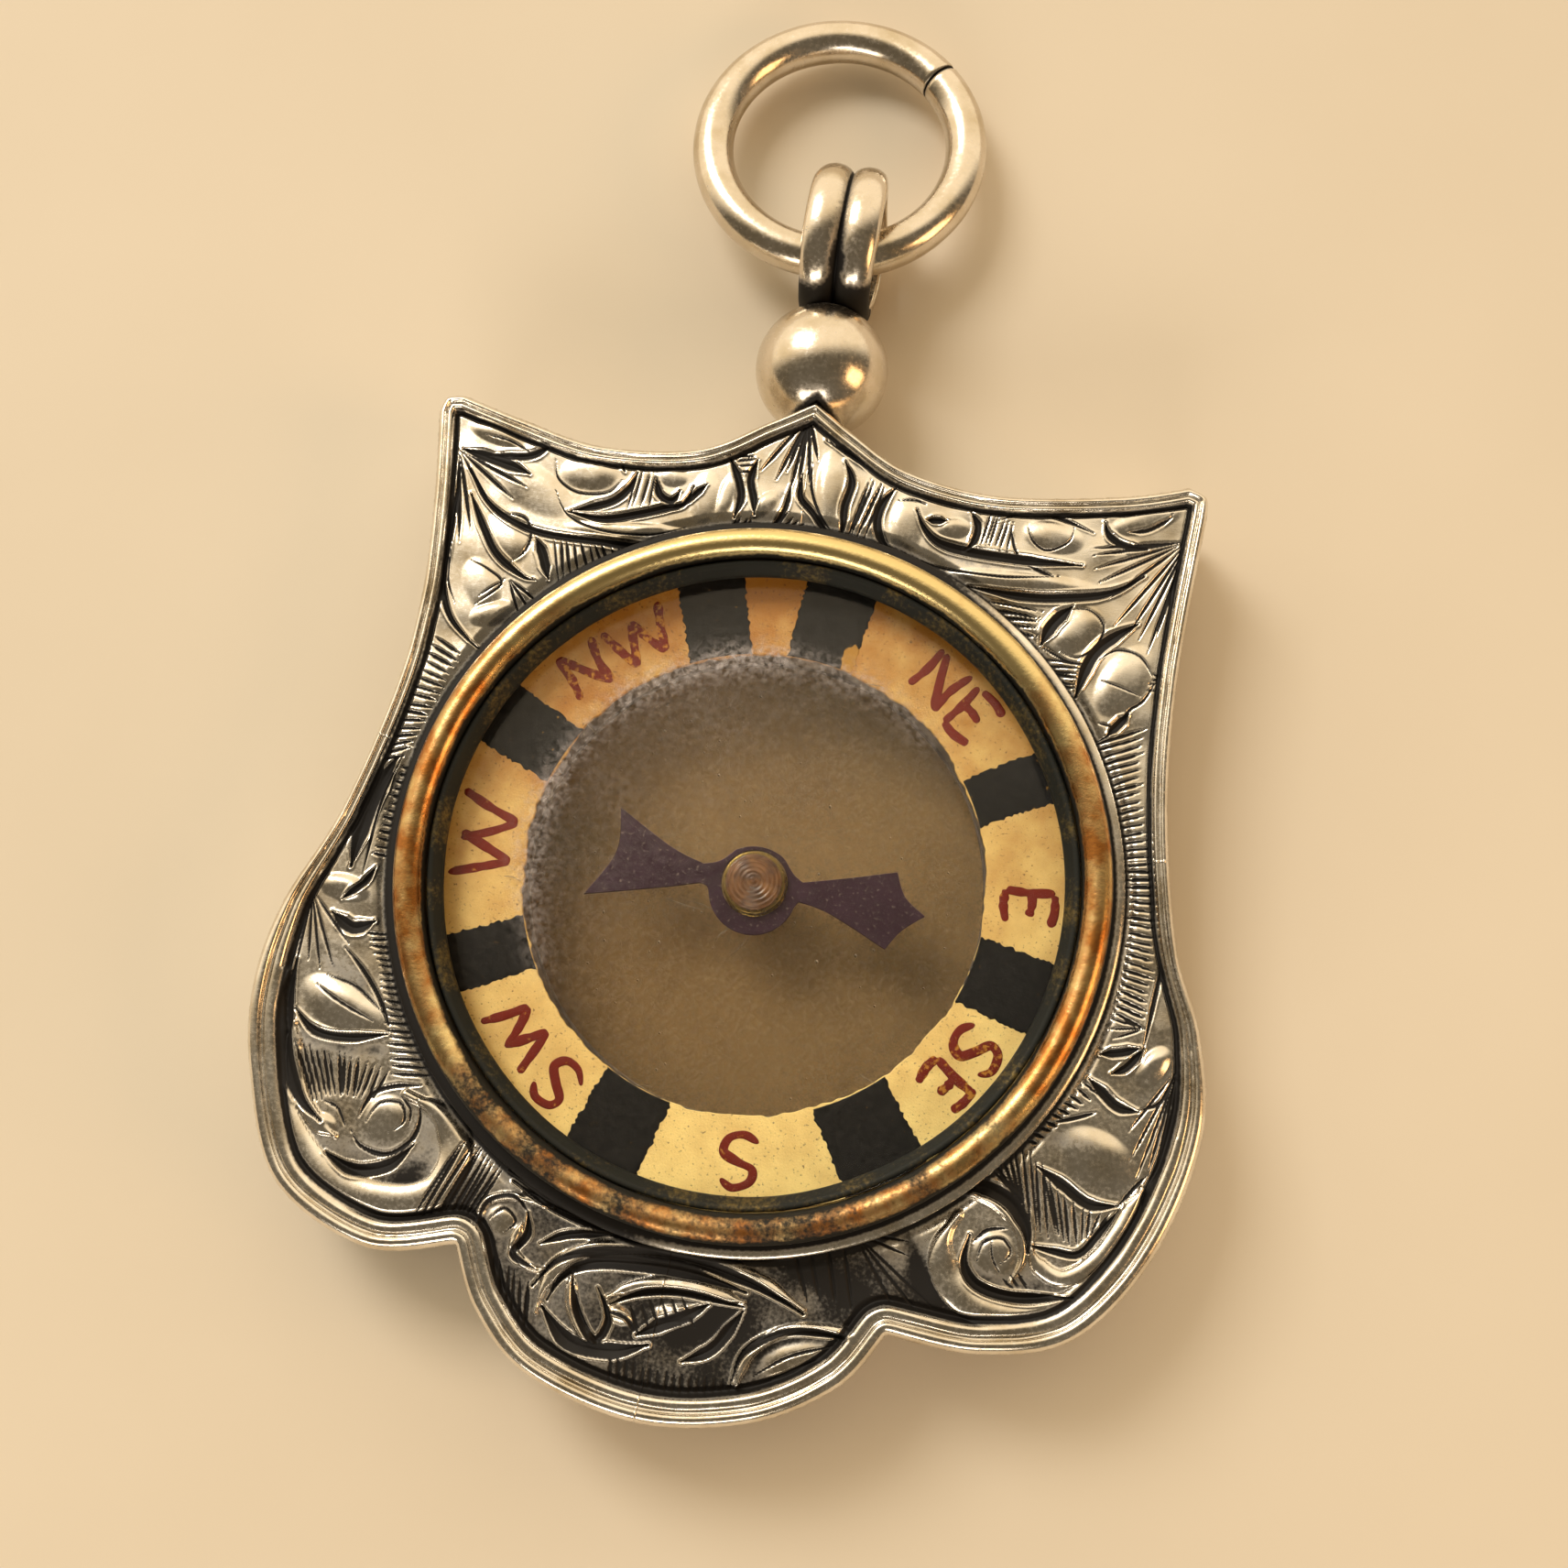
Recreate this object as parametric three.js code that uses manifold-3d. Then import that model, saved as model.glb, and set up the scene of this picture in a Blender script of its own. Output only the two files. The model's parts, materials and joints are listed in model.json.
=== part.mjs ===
// A silver compass fob for a watch chain: a shield-shaped case of two soldered
// shells, a glazed brass compass capsule set through it, a ball finial, a reeded
// bail and a split jump ring.  Millimetres, +Z up.  The fob lies on its back with
// the dial facing up (+Z) and the ring pointing to +Y.  Shapes are laid out from
// the needle's pivot axis, and the whole group is then moved so that the middle
// of its resting footprint is the origin.
import * as THREE from 'three';
import { mergeVertices } from 'three/addons/utils/BufferGeometryUtils.js';
import Module from 'manifold-3d';

const wasm = await Module();
wasm.setup();

// ---- driving dimensions -------------------------------------------------

// Compass capsule: radii from the pivot axis, heights above the resting surface.
const BEZEL_OUTER_R = 10.5;
const BEZEL_INNER_R = 9.62;
const BEZEL_CREST_Z = 4.9;
const BEZEL_SEAT_Z = 3.86;
const GLASS_RING_INNER_R = 9.15;
const SIGHT_R = 6.9; // clear hole through the dial card
const DRUM_OUTER_R = 10.0;
const DRUM_WALL = 0.35;
const FIT = 0.05; // running gap kept between neighbouring pieces
const PACK_R = DRUM_OUTER_R - DRUM_WALL - FIT; // everything stacked in the drum

const REAR_BEZEL_TOP_Z = 0.68;
const REAR_GLASS_Z = [0.72, 1.3];
const REAR_MASK_Z = [1.35, 1.45];
const SUPPORT_Z = [1.5, 2.82];
const CARD_Z = [2.87, 3.07];
const FRONT_GLASS_Z = [3.15, 3.62];
const FRONT_GLASS_DOME = 0.5;

// Shield case.
const BACK_FACE_Z = 0.75;
const SHELL_SEAM_Z = 1.38;
const FIELD_Z = 3.55; // engraved ground of the front
const BORDER_Z = 3.9; // crest of the raised border
const SHEET = 0.55; // thickness of the silver sheet
const CASE_HOLE_R = 10.42;
const WALL_SCALE = 0.93; // inside of the case wall, as a share of the outline
const BORDER_SCALE = 0.935; // inner foot of the raised border
const EDGE_ROUND = 0.4;
const FLANGE_R = 11.0; // thin flange of the collar, lying on the engraved face
const FLANGE_SLOPE = 0.12;

// Ball finial and bail, on the small lean of the peak.
const PEAK_X = -0.6;
const STEM_X = -0.75;
const MID_Z = 2.35;
const BALL_R = 2.1;
const BALL_Y = 16.5;
const BAIL_Y = 20.85;
const BAIL_HALF = [1.95, 1.7]; // inside of the loop along Y and Z
const BAIL_WIDTH = 2.4;
const BAIL_RIDGE = 0.56;
const BAIL_GROOVE = 0.24;
const RIDGE_BENDS = 6; // facets over each half-round ridge
const BAIL_STEPS = 40;

// Jump ring, lying back through the bail.
const RING_R = 4.17; // to the middle of the wire
const WIRE_R = 0.67;
const RING_SLIDE = -0.8; // how far the ring has slid along its own wire
const RING_PIVOT = [STEM_X, 20.45, 2.1];
const RING_REST_TILT = THREE.MathUtils.degToRad(7);
const RING_CUT_ANGLE = THREE.MathUtils.degToRad(46);
const RING_CUT_GAP = 0.12;
const RING_STEPS = 52;

// Needle, its cap and the pin below.
const NEEDLE_Z = [2.2, 2.35];
const NEEDLE_REST_ANGLE = THREE.MathUtils.degToRad(-1.5);
const CAP_R = 0.95;
const HUB_R = 1.34;
const HUB_SHIFT = -0.22; // the hub disc is filed a little off its hole
const NECK_X = 1.42; // the blade meets the hub here
const NECK_HALF = 0.3;
const FOOT_Z = [REAR_GLASS_Z[1] + FIT, 1.6];
const FOOT_R = 1.0;
const PIN_R = 0.16;
const PIN_TIP_R = 0.02;
const PIN_TIP_Z = 2.46;
const PIN_POINT = 0.4; // length of the ground point
const CAP_Z = [2.02, 2.6];
const CAP_FOOT_R = 0.75;
const CAP_BORE_R = 0.5;
const CAP_CHAMFER = 0.1;
const JEWEL_R = 0.84;
const JEWEL_CUP_R = 0.28;

const ROUND = 48; // facets round a turned piece
const FINE_ROUND = 64; // the two bezels
const SMALL_ROUND = 32; // parts under 2 mm across

// ---- materials ----------------------------------------------------------

function material(color, roughness, metalness) {
  return new THREE.MeshStandardMaterial({ color, roughness, metalness });
}

const silver = material(0xc9c4bb, 0.3, 1);
const giltBrass = material(0xb48a45, 0.4, 1);
const darkBrass = material(0x4a4028, 0.6, 1);
const glass = material(0xd8e0dc, 0.05, 0);
const giltPaper = material(0xc79a4a, 0.8, 0);
const pulpBoard = material(0x6b6258, 0.9, 0);
const bluedSteel = material(0x4a3a48, 0.4, 1);
const steel = material(0x8d8f92, 0.35, 1);
const agate = material(0x8a6238, 0.2, 0);

// ---- helpers ------------------------------------------------------------

// Smooth curve through the chosen points, without its last point, so that runs
// can follow one another round a closed outline.
function run(points, pieces) {
  const curve = new THREE.SplineCurve(points.map(([x, y]) => new THREE.Vector2(x, y)));
  return curve.getPoints(pieces).slice(0, -1);
}

function scaled(points, factor) {
  return points.map((p) => p.clone().multiplyScalar(factor));
}

// Moves each corner of a closed anticlockwise outline inwards by a small step.
function inset(points, step) {
  return points.map((p, i) => {
    const before = points[(i + points.length - 1) % points.length];
    const after = points[(i + 1) % points.length];
    const along = after.clone().sub(before).normalize();
    return new THREE.Vector2(p.x - along.y * step, p.y + along.x * step);
  });
}

function geometryFrom(vertices, triangles) {
  const geometry = new THREE.BufferGeometry();
  geometry.setAttribute('position', new THREE.Float32BufferAttribute(vertices, 3));
  geometry.setIndex(triangles);
  return geometry;
}

// Closed solid from outlines of equal count stacked upwards: [z, points] each.
function stack(levels) {
  const count = levels[0][1].length;
  const vertices = levels.flatMap(([z, points]) => points.flatMap((p) => [p.x, p.y, z]));
  const triangles = [];
  for (let level = 0; level < levels.length - 1; level += 1) {
    for (let i = 0; i < count; i += 1) {
      const a = level * count + i;
      const b = level * count + ((i + 1) % count);
      triangles.push(a, b, b + count, a, b + count, a + count);
    }
  }
  const top = (levels.length - 1) * count;
  for (const [a, b, c] of THREE.ShapeUtils.triangulateShape(levels[0][1], [])) {
    triangles.push(c, b, a);
  }
  for (const [a, b, c] of THREE.ShapeUtils.triangulateShape(levels.at(-1)[1], [])) {
    triangles.push(top + a, top + b, top + c);
  }
  return geometryFrom(vertices, triangles);
}

// Body of revolution about Z from [radius, z] corners.
function turned(profile, facets = ROUND) {
  const points = profile.map(([r, z]) => new THREE.Vector2(r, z));
  const geometry = new THREE.LatheGeometry(points, facets);
  geometry.rotateX(Math.PI / 2);
  return geometry;
}

// Closed ring whose section is a plain rectangle.
function flatRing(innerR, outerR, [low, high]) {
  return turned([[innerR, low], [outerR, low], [outerR, high], [innerR, high], [innerR, low]]);
}

function toSolid(geometry) {
  const bare = geometry.clone();
  bare.deleteAttribute('normal');
  bare.deleteAttribute('uv');
  const merged = mergeVertices(bare, 1e-4);
  return new wasm.Manifold(new wasm.Mesh({
    numProp: 3,
    vertProperties: new Float32Array(merged.attributes.position.array),
    triVerts: new Uint32Array(merged.index.array),
  }));
}

function fromSolid(solid) {
  const mesh = solid.getMesh();
  return geometryFrom(Array.from(mesh.vertProperties), Array.from(mesh.triVerts));
}

function cut(geometry, ...tools) {
  const solid = tools.reduce((rest, tool) => rest.subtract(toSolid(tool)), toSolid(geometry));
  return fromSolid(solid);
}

function disc(radius, [low, high], facets = ROUND) {
  return turned([[0, low], [radius, low], [radius, high], [0, high]], facets);
}

function piece(name, geometry, finish) {
  const mesh = new THREE.Mesh(geometry, finish);
  mesh.name = name;
  return mesh;
}

// ---- shield case --------------------------------------------------------

// Anticlockwise from the peak under the ball: hollow top edge, rounded horn,
// hollow flank and full side lobe, notch, bottom lobe, and back up the right.
function shieldOutline() {
  return [
    ...run([[PEAK_X, 14.95], [-2, 14.05], [-4, 12.88], [-7, 12.53], [-9.5, 13.0],
      [-11.5, 13.5]], 16),
    ...run([[-11.5, 13.5], [-12.05, 13.35], [-12.22, 12.85]], 3),
    ...run([[-12.22, 12.85], [-11.8, 10], [-11.56, 7], [-11.75, 4], [-12.6, 0], [-13.75, -3],
      [-14.1, -5.5], [-13.65, -8], [-12.2, -11], [-9.2, -12.38], [-6.6, -11.85]], 32),
    ...run([[-6.6, -11.85], [-5.7, -13.5], [-3.9, -15.0], [-0.6, -15.75], [2.6, -15.2],
      [4.9, -13.8], [6.0, -12.15]], 18),
    ...run([[6.0, -12.15], [8.6, -12.22], [11.2, -11.35], [13.1, -8.7], [14.0, -5.2],
      [13.55, -2.4], [12.55, 0], [11.75, 4], [11.5, 8], [11.7, 13.05]], 32),
    ...run([[11.7, 13.05], [11.62, 13.7], [11.05, 13.95]], 3),
    ...run([[11.05, 13.95], [9, 13.35], [5.4, 12.82], [2.6, 13.15], [0.8, 14.05],
      [PEAK_X, 14.95]], 16),
  ];
}

const outline = shieldOutline();

function shieldFront() {
  const outside = stack([
    [SHELL_SEAM_Z + FIT, outline],
    [BORDER_Z - EDGE_ROUND, outline],
    [BORDER_Z - 0.3 * EDGE_ROUND, inset(outline, 0.3 * EDGE_ROUND)],
    [BORDER_Z, inset(outline, EDGE_ROUND)],
  ]);
  const field = stack([
    [FIELD_Z, scaled(outline, BORDER_SCALE)],
    [BORDER_Z + 1, scaled(outline, BORDER_SCALE)],
  ]);
  const hollow = stack([
    [0, scaled(outline, WALL_SCALE)],
    [FIELD_Z - SHEET, scaled(outline, WALL_SCALE)],
  ]);
  return cut(outside, field, hollow, disc(CASE_HOLE_R, [0, BORDER_Z + 1]));
}

function shieldBack() {
  const plate = stack([
    [BACK_FACE_Z, inset(outline, EDGE_ROUND)],
    [BACK_FACE_Z + 0.3 * EDGE_ROUND, inset(outline, 0.3 * EDGE_ROUND)],
    [BACK_FACE_Z + EDGE_ROUND, outline],
    [SHELL_SEAM_Z, outline],
  ]);
  return cut(plate, disc(CASE_HOLE_R, [0, BORDER_Z + 1]));
}

// Silver tube through the case, with a thin flange lying on the engraved face.
function caseCollar() {
  const bore = DRUM_OUTER_R + FIT;
  const outside = CASE_HOLE_R - FIT;
  const flangeZ = FIELD_Z + FIT;
  return turned([
    [bore, BACK_FACE_Z],
    [outside, BACK_FACE_Z],
    [outside, flangeZ],
    [FLANGE_R, flangeZ],
    [FLANGE_R, flangeZ + FLANGE_SLOPE],
    [FLANGE_R - FLANGE_SLOPE, BEZEL_SEAT_Z - FIT],
    [bore, BEZEL_SEAT_Z - FIT],
    [bore, BACK_FACE_Z],
  ]);
}

// ---- ball, bail and ring ------------------------------------------------

// Ball with a seat filed to the shape of the shield's peak.
function ballFinial() {
  const ball = new THREE.SphereGeometry(BALL_R, SMALL_ROUND, 20);
  ball.rotateX(Math.PI / 2);
  ball.translate(STEM_X, BALL_Y, MID_Z);
  const seat = scaled(outline, 1 + FIT / 10);
  return cut(ball, stack([[-1, seat], [2 * BORDER_Z, seat]]));
}

// Thickness of the bail across its width: two half-round ridges and a groove.
function bailSection() {
  const half = BAIL_WIDTH / 2;
  const ridge = half / 2;
  const rise = BAIL_RIDGE - BAIL_GROOVE;
  const points = [[half, 0], [half, BAIL_GROOVE]];
  for (const middle of [ridge, -ridge]) {
    for (let i = 1; i < RIDGE_BENDS; i += 1) {
      const angle = (i / RIDGE_BENDS) * Math.PI;
      const x = middle + ridge * Math.cos(angle);
      points.push([x, BAIL_GROOVE + rise * Math.sin(angle)]);
    }
    points.push([middle - ridge, BAIL_GROOVE]);
  }
  points.push([-half, 0]);
  return points;
}

// The section carried round an oval loop standing in the YZ plane.
function bail() {
  const section = bailSection();
  const vertices = [];
  const triangles = [];
  for (let i = 0; i < BAIL_STEPS; i += 1) {
    const angle = (i / BAIL_STEPS) * 2 * Math.PI;
    const [alongY, alongZ] = [Math.cos(angle), Math.sin(angle)];
    const normal = new THREE.Vector2(alongY * BAIL_HALF[1], alongZ * BAIL_HALF[0]).normalize();
    for (const [x, out] of section) {
      const y = BAIL_Y + alongY * BAIL_HALF[0] + normal.x * out;
      const z = MID_Z + alongZ * BAIL_HALF[1] + normal.y * out;
      vertices.push(STEM_X + x, y, z);
    }
  }
  const count = section.length;
  for (let i = 0; i < BAIL_STEPS; i += 1) {
    for (let j = 0; j < count; j += 1) {
      const a = i * count + j;
      const b = i * count + ((j + 1) % count);
      const next = ((i + 1) % BAIL_STEPS) * count;
      const c = next + ((j + 1) % count);
      const d = next + j;
      triangles.push(a, b, c, a, c, d);
    }
  }
  const ballSpace = new THREE.SphereGeometry(BALL_R + 2 * FIT, SMALL_ROUND, 20);
  ballSpace.translate(STEM_X, BALL_Y, MID_Z);
  return cut(geometryFrom(vertices, triangles), ballSpace);
}

// Circle of wire in the XY plane, left open at the saw cut.
class RingPath extends THREE.Curve {
  getPoint(t, target = new THREE.Vector3()) {
    const open = RING_CUT_GAP / RING_R;
    const angle = RING_CUT_ANGLE + open / 2 + t * (2 * Math.PI - open);
    const x = RING_SLIDE + RING_R * Math.cos(angle);
    const y = RING_R + RING_R * Math.sin(angle);
    return target.set(x, y, 0);
  }
}

function jumpRing() {
  const wire = new THREE.Shape();
  wire.absarc(0, 0, WIRE_R, 0, 2 * Math.PI);
  return new THREE.ExtrudeGeometry(wire, {
    steps: RING_STEPS,
    curveSegments: 6,
    bevelEnabled: false,
    extrudePath: new RingPath(),
  });
}

// ---- compass capsule ----------------------------------------------------

// Half-round gilt ring that shows on the front.
function frontBezel() {
  const middle = (BEZEL_OUTER_R + BEZEL_INNER_R) / 2;
  const halfWidth = (BEZEL_OUTER_R - BEZEL_INNER_R) / 2;
  const profile = [[BEZEL_INNER_R, BEZEL_SEAT_Z], [BEZEL_OUTER_R, BEZEL_SEAT_Z]];
  const bends = 6;
  for (let i = 0; i <= bends; i += 1) {
    const angle = (i / bends) * Math.PI;
    const shoulder = BEZEL_CREST_Z - halfWidth;
    profile.push([middle + halfWidth * Math.cos(angle), shoulder + halfWidth * Math.sin(angle)]);
  }
  profile.push([BEZEL_INNER_R, BEZEL_SEAT_Z]);
  return turned(profile, FINE_ROUND);
}

// Springy ring inside the bezel that holds the front glass down.
function frontGlassRing() {
  const outside = BEZEL_INNER_R - FIT;
  const top = BEZEL_CREST_Z - 0.5;
  const [land, lip] = [0.15, 0.22]; // width of the flat top, height of the inner lip
  return turned([
    [GLASS_RING_INNER_R, BEZEL_SEAT_Z],
    [outside, BEZEL_SEAT_Z],
    [outside, top],
    [outside - land, top],
    [GLASS_RING_INNER_R, BEZEL_SEAT_Z + lip],
    [GLASS_RING_INNER_R, BEZEL_SEAT_Z],
  ]);
}

// Flat-bottomed glass with a low dome that dies out under the glass ring.
function frontGlass() {
  const [low, high] = FRONT_GLASS_Z;
  const profile = [[0, low], [PACK_R, low], [PACK_R, high]];
  const bends = 5;
  const rimR = GLASS_RING_INNER_R;
  for (let i = 0; i <= bends; i += 1) {
    const share = 1 - i / bends;
    profile.push([rimR * share, high + FRONT_GLASS_DOME * (1 - share * share)]);
  }
  return turned(profile);
}

// Rear bezel: the flat land that the fob rests on, with both edges eased.
function rearBezel() {
  const ease = 0.22;
  return turned([
    [GLASS_RING_INNER_R, REAR_BEZEL_TOP_Z],
    [GLASS_RING_INNER_R, ease],
    [GLASS_RING_INNER_R + ease, 0],
    [BEZEL_OUTER_R - ease, 0],
    [BEZEL_OUTER_R, ease],
    [BEZEL_OUTER_R, REAR_BEZEL_TOP_Z],
    [GLASS_RING_INNER_R, REAR_BEZEL_TOP_Z],
  ], FINE_ROUND);
}

// ---- pivot and needle ---------------------------------------------------

// Low brass button: nearly upright side, then a gentle slope to a flat top.
function pivotFoot() {
  const [low, high] = FOOT_Z;
  const shoulder = [0.9 * FOOT_R, high - 0.08];
  return turned([[0, low], [FOOT_R, low], shoulder, [0.45 * FOOT_R, high], [0, high]], 24);
}

function pivotPin() {
  const low = FOOT_Z[1] + FIT;
  const shank = [PIN_R, PIN_TIP_Z - PIN_POINT];
  return turned([[0, low], [PIN_R, low], shank, [PIN_TIP_R, PIN_TIP_Z], [0, PIN_TIP_Z]], 12);
}

// Brass cap: the ring riveted into the needle's hub.
function needleCap() {
  const [low, high] = CAP_Z;
  const waist = NEEDLE_Z[0] + 0.02;
  return turned([
    [CAP_BORE_R + FIT, low],
    [CAP_FOOT_R, low],
    [CAP_R, waist],
    [CAP_R, high - CAP_CHAMFER],
    [CAP_R - CAP_CHAMFER, high],
    [CAP_BORE_R + FIT, high],
    [CAP_BORE_R + FIT, low],
  ], SMALL_ROUND);
}

// Agate cup: a domed button whose hollow underside rides on the pin's point.
function capJewel() {
  const dome = CAP_Z[1] + FIT;
  const underside = CAP_Z[0] + 0.06;
  const bead = [[0.68, 0.2], [0.35, 0.31], [0.12, 0.34], [0, 0.4]]; // radius, height
  return turned([
    [0, PIN_TIP_Z + 0.04],
    [JEWEL_CUP_R, underside],
    [CAP_BORE_R, underside],
    [CAP_BORE_R, dome],
    [JEWEL_R, dome],
    ...bead.map(([r, height]) => [r, dome + height]),
  ], SMALL_ROUND);
}

// Swallow-tailed needle cut from thin blued steel, its head along +X.
function compassNeedle() {
  const shape = new THREE.Shape();
  const tailNeckX = -NECK_X - 0.2;
  shape.moveTo(NECK_X, -NECK_HALF);
  shape.quadraticCurveTo(2.4, -0.5, 4.2, -1.2);
  shape.quadraticCurveTo(4.55, -0.55, 5.2, 0);
  shape.quadraticCurveTo(4.45, 0.5, 4.15, 1.15);
  shape.quadraticCurveTo(2.7, 0.75, NECK_X, NECK_HALF);
  shape.quadraticCurveTo(1.15, 0.62, 0.75, HUB_R + HUB_SHIFT - 0.16);
  shape.absarc(0, HUB_SHIFT, HUB_R, 0.31 * Math.PI, 0.69 * Math.PI, false);
  shape.quadraticCurveTo(-1.15, 0.5, tailNeckX, NECK_HALF);
  shape.quadraticCurveTo(-2.6, 0.6, -4.45, 1.5);
  shape.quadraticCurveTo(-4.1, 0.2, -5.0, -1.3);
  shape.quadraticCurveTo(-2.9, -0.75, tailNeckX, -NECK_HALF);
  shape.absarc(0, HUB_SHIFT, HUB_R, 1.06 * Math.PI, 1.94 * Math.PI, false);
  const hole = new THREE.Path();
  hole.absarc(0, 0, CAP_R + FIT, 0, 2 * Math.PI, true);
  shape.holes.push(hole);
  const depth = NEEDLE_Z[1] - NEEDLE_Z[0];
  const geometry = new THREE.ExtrudeGeometry(shape, {
    depth,
    bevelEnabled: false,
    curveSegments: 8,
  });
  geometry.translate(0, 0, NEEDLE_Z[0]);
  return geometry;
}

// ---- assembly -----------------------------------------------------------

function shieldCase() {
  const group = new THREE.Group();
  group.add(piece('shield_front', shieldFront(), silver));
  group.add(piece('shield_back', shieldBack(), silver));
  group.add(piece('case_collar', caseCollar(), silver));
  group.add(piece('ball_finial', ballFinial(), silver));
  group.add(piece('bail', bail(), silver));
  return group;
}

function compassCapsule() {
  const group = new THREE.Group();
  const drumR = DRUM_OUTER_R - DRUM_WALL;
  const drumZ = [REAR_BEZEL_TOP_Z + FIT, BEZEL_SEAT_Z - FIT];
  group.add(piece('capsule_drum', flatRing(drumR, DRUM_OUTER_R, drumZ), darkBrass));
  group.add(piece('front_bezel', frontBezel(), giltBrass));
  group.add(piece('front_glass_ring', frontGlassRing(), darkBrass));
  group.add(piece('front_glass', frontGlass(), glass));
  group.add(piece('dial_card', flatRing(SIGHT_R, PACK_R, CARD_Z), giltPaper));
  group.add(piece('dial_support', flatRing(SIGHT_R + 0.08, PACK_R, SUPPORT_Z), pulpBoard));
  group.add(piece('rear_mask', flatRing(SIGHT_R, PACK_R, REAR_MASK_Z), pulpBoard));
  group.add(piece('rear_glass', disc(PACK_R, REAR_GLASS_Z), glass));
  group.add(piece('rear_bezel', rearBezel(), giltBrass));
  group.add(piece('pivot_foot', pivotFoot(), giltBrass));
  group.add(piece('pivot_pin', pivotPin(), steel));
  return group;
}

function needleAssembly() {
  const group = new THREE.Group();
  group.add(piece('compass_needle', compassNeedle(), bluedSteel));
  group.add(piece('needle_cap', needleCap(), giltBrass));
  group.add(piece('cap_jewel', capJewel(), agate));
  group.rotation.z = NEEDLE_REST_ANGLE;
  return group;
}

function hangingRing() {
  const group = new THREE.Group();
  group.add(piece('jump_ring', jumpRing(), silver));
  group.position.set(...RING_PIVOT);
  group.rotation.x = -RING_REST_TILT;
  return group;
}

const fob = new THREE.Group();
fob.add(shieldCase(), compassCapsule(), needleAssembly(), hangingRing());

// The origin is the middle of the resting footprint.
const footprint = new THREE.Box3().setFromObject(fob, true);
const middle = footprint.getCenter(new THREE.Vector3());
fob.position.set(-middle.x, -middle.y, -footprint.min.z);

export default fob;
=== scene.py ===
# %% [markdown]
# # A silver compass fob
# A compass fob hung from a watch chain. Two silver shells are soldered into a shield, a glazed
# brass compass sits in a round hole through it, and a ball, a reeded bail and a split ring hang
# it up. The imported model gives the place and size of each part, and this lesson makes the fine
# surfaces around it: the engraving, the turned rings, the glass, the painted card and the patina.

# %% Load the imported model
import json
import math
import bmesh
import bpy
import numpy as np
from mathutils import Matrix, Vector


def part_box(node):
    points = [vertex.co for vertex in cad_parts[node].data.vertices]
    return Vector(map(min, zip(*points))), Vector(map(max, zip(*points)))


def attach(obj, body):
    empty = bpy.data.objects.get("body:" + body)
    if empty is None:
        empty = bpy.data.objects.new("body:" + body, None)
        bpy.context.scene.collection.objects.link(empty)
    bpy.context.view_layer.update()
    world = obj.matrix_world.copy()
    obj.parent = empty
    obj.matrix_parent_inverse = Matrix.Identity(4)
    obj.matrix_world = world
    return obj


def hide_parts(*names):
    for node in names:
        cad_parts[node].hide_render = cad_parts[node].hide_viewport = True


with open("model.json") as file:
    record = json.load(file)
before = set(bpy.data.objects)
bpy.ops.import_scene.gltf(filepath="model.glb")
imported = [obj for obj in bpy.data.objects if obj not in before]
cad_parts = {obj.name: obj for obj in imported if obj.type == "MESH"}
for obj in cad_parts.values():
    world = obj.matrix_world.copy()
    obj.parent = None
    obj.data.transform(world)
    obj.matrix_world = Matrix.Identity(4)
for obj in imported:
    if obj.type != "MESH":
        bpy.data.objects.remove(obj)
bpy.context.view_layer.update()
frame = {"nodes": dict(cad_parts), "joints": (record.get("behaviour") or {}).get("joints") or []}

MM = 0.001

# %% [markdown]
# Everything is laid out in millimetres from the needle's axis, which is the middle of the
# bezel. Heights are above the table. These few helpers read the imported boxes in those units.

# %% Units and places
low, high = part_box("front_bezel")
PIVOT = np.array([(low.x + high.x) / 2, (low.y + high.y) / 2, 0.0]) / MM


def corners(node):
    """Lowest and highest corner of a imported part, in millimetres from the needle's axis."""
    lowest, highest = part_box(node)
    return np.array(lowest) / MM - PIVOT, np.array(highest) / MM - PIVOT


def heights(node):
    """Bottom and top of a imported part."""
    lowest, highest = corners(node)
    return float(lowest[2]), float(highest[2])


def radius(node):
    """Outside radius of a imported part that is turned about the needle's axis."""
    lowest, highest = corners(node)
    return float(highest[1] - lowest[1]) / 2


print("needle axis at", PIVOT.round(3), "bezel radius", round(radius("front_bezel"), 2))

# %% [markdown]
# The camera looks almost straight down, leans a little from the lower right, and is turned so
# that the fob lies at a slant in the picture.

# %% Camera
CAMERA_FROM = np.array([4.72, -6.13, 57.31])
CAMERA_TO = np.array([0.47, 2.91, 3.9])
CAMERA_ROLL = math.radians(9.85)
FOCAL_LENGTH = 42.06
SENSOR_WIDTH = 36
NEAREST_SEEN = 0.001


def aimed(name, data, place, target, roll=0.0):
    """Object at place whose -Z axis points at target. Its X axis is the cross product of the
    rolled +Y direction and its Z axis."""
    back = Vector(place - target).normalized()
    across = Vector((-math.sin(roll), math.cos(roll), 0)).cross(back).normalized()
    up = back.cross(across)
    made = bpy.data.objects.new(name, data)
    turn = Matrix((across, up, back)).transposed().to_4x4()
    made.matrix_world = Matrix.Translation(Vector((place + PIVOT) * MM)) @ turn
    bpy.context.scene.collection.objects.link(made)
    return made


lens = bpy.data.cameras.new("camera")
lens.lens = FOCAL_LENGTH
lens.sensor_width = SENSOR_WIDTH
lens.clip_start = NEAREST_SEEN
bpy.context.scene.camera = aimed("camera", lens, CAMERA_FROM, CAMERA_TO, CAMERA_ROLL)
print("camera stands", round(float(np.linalg.norm(CAMERA_FROM - CAMERA_TO)), 1), "mm off")

# %% [markdown]
# Finishes come first, because each piece names the one it wears. Colours are written as the
# hex values a painter would pick and turned into linear light by one function. One method adds
# a shader node with its settings and links, and a few short names call it for common kinds.

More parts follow.
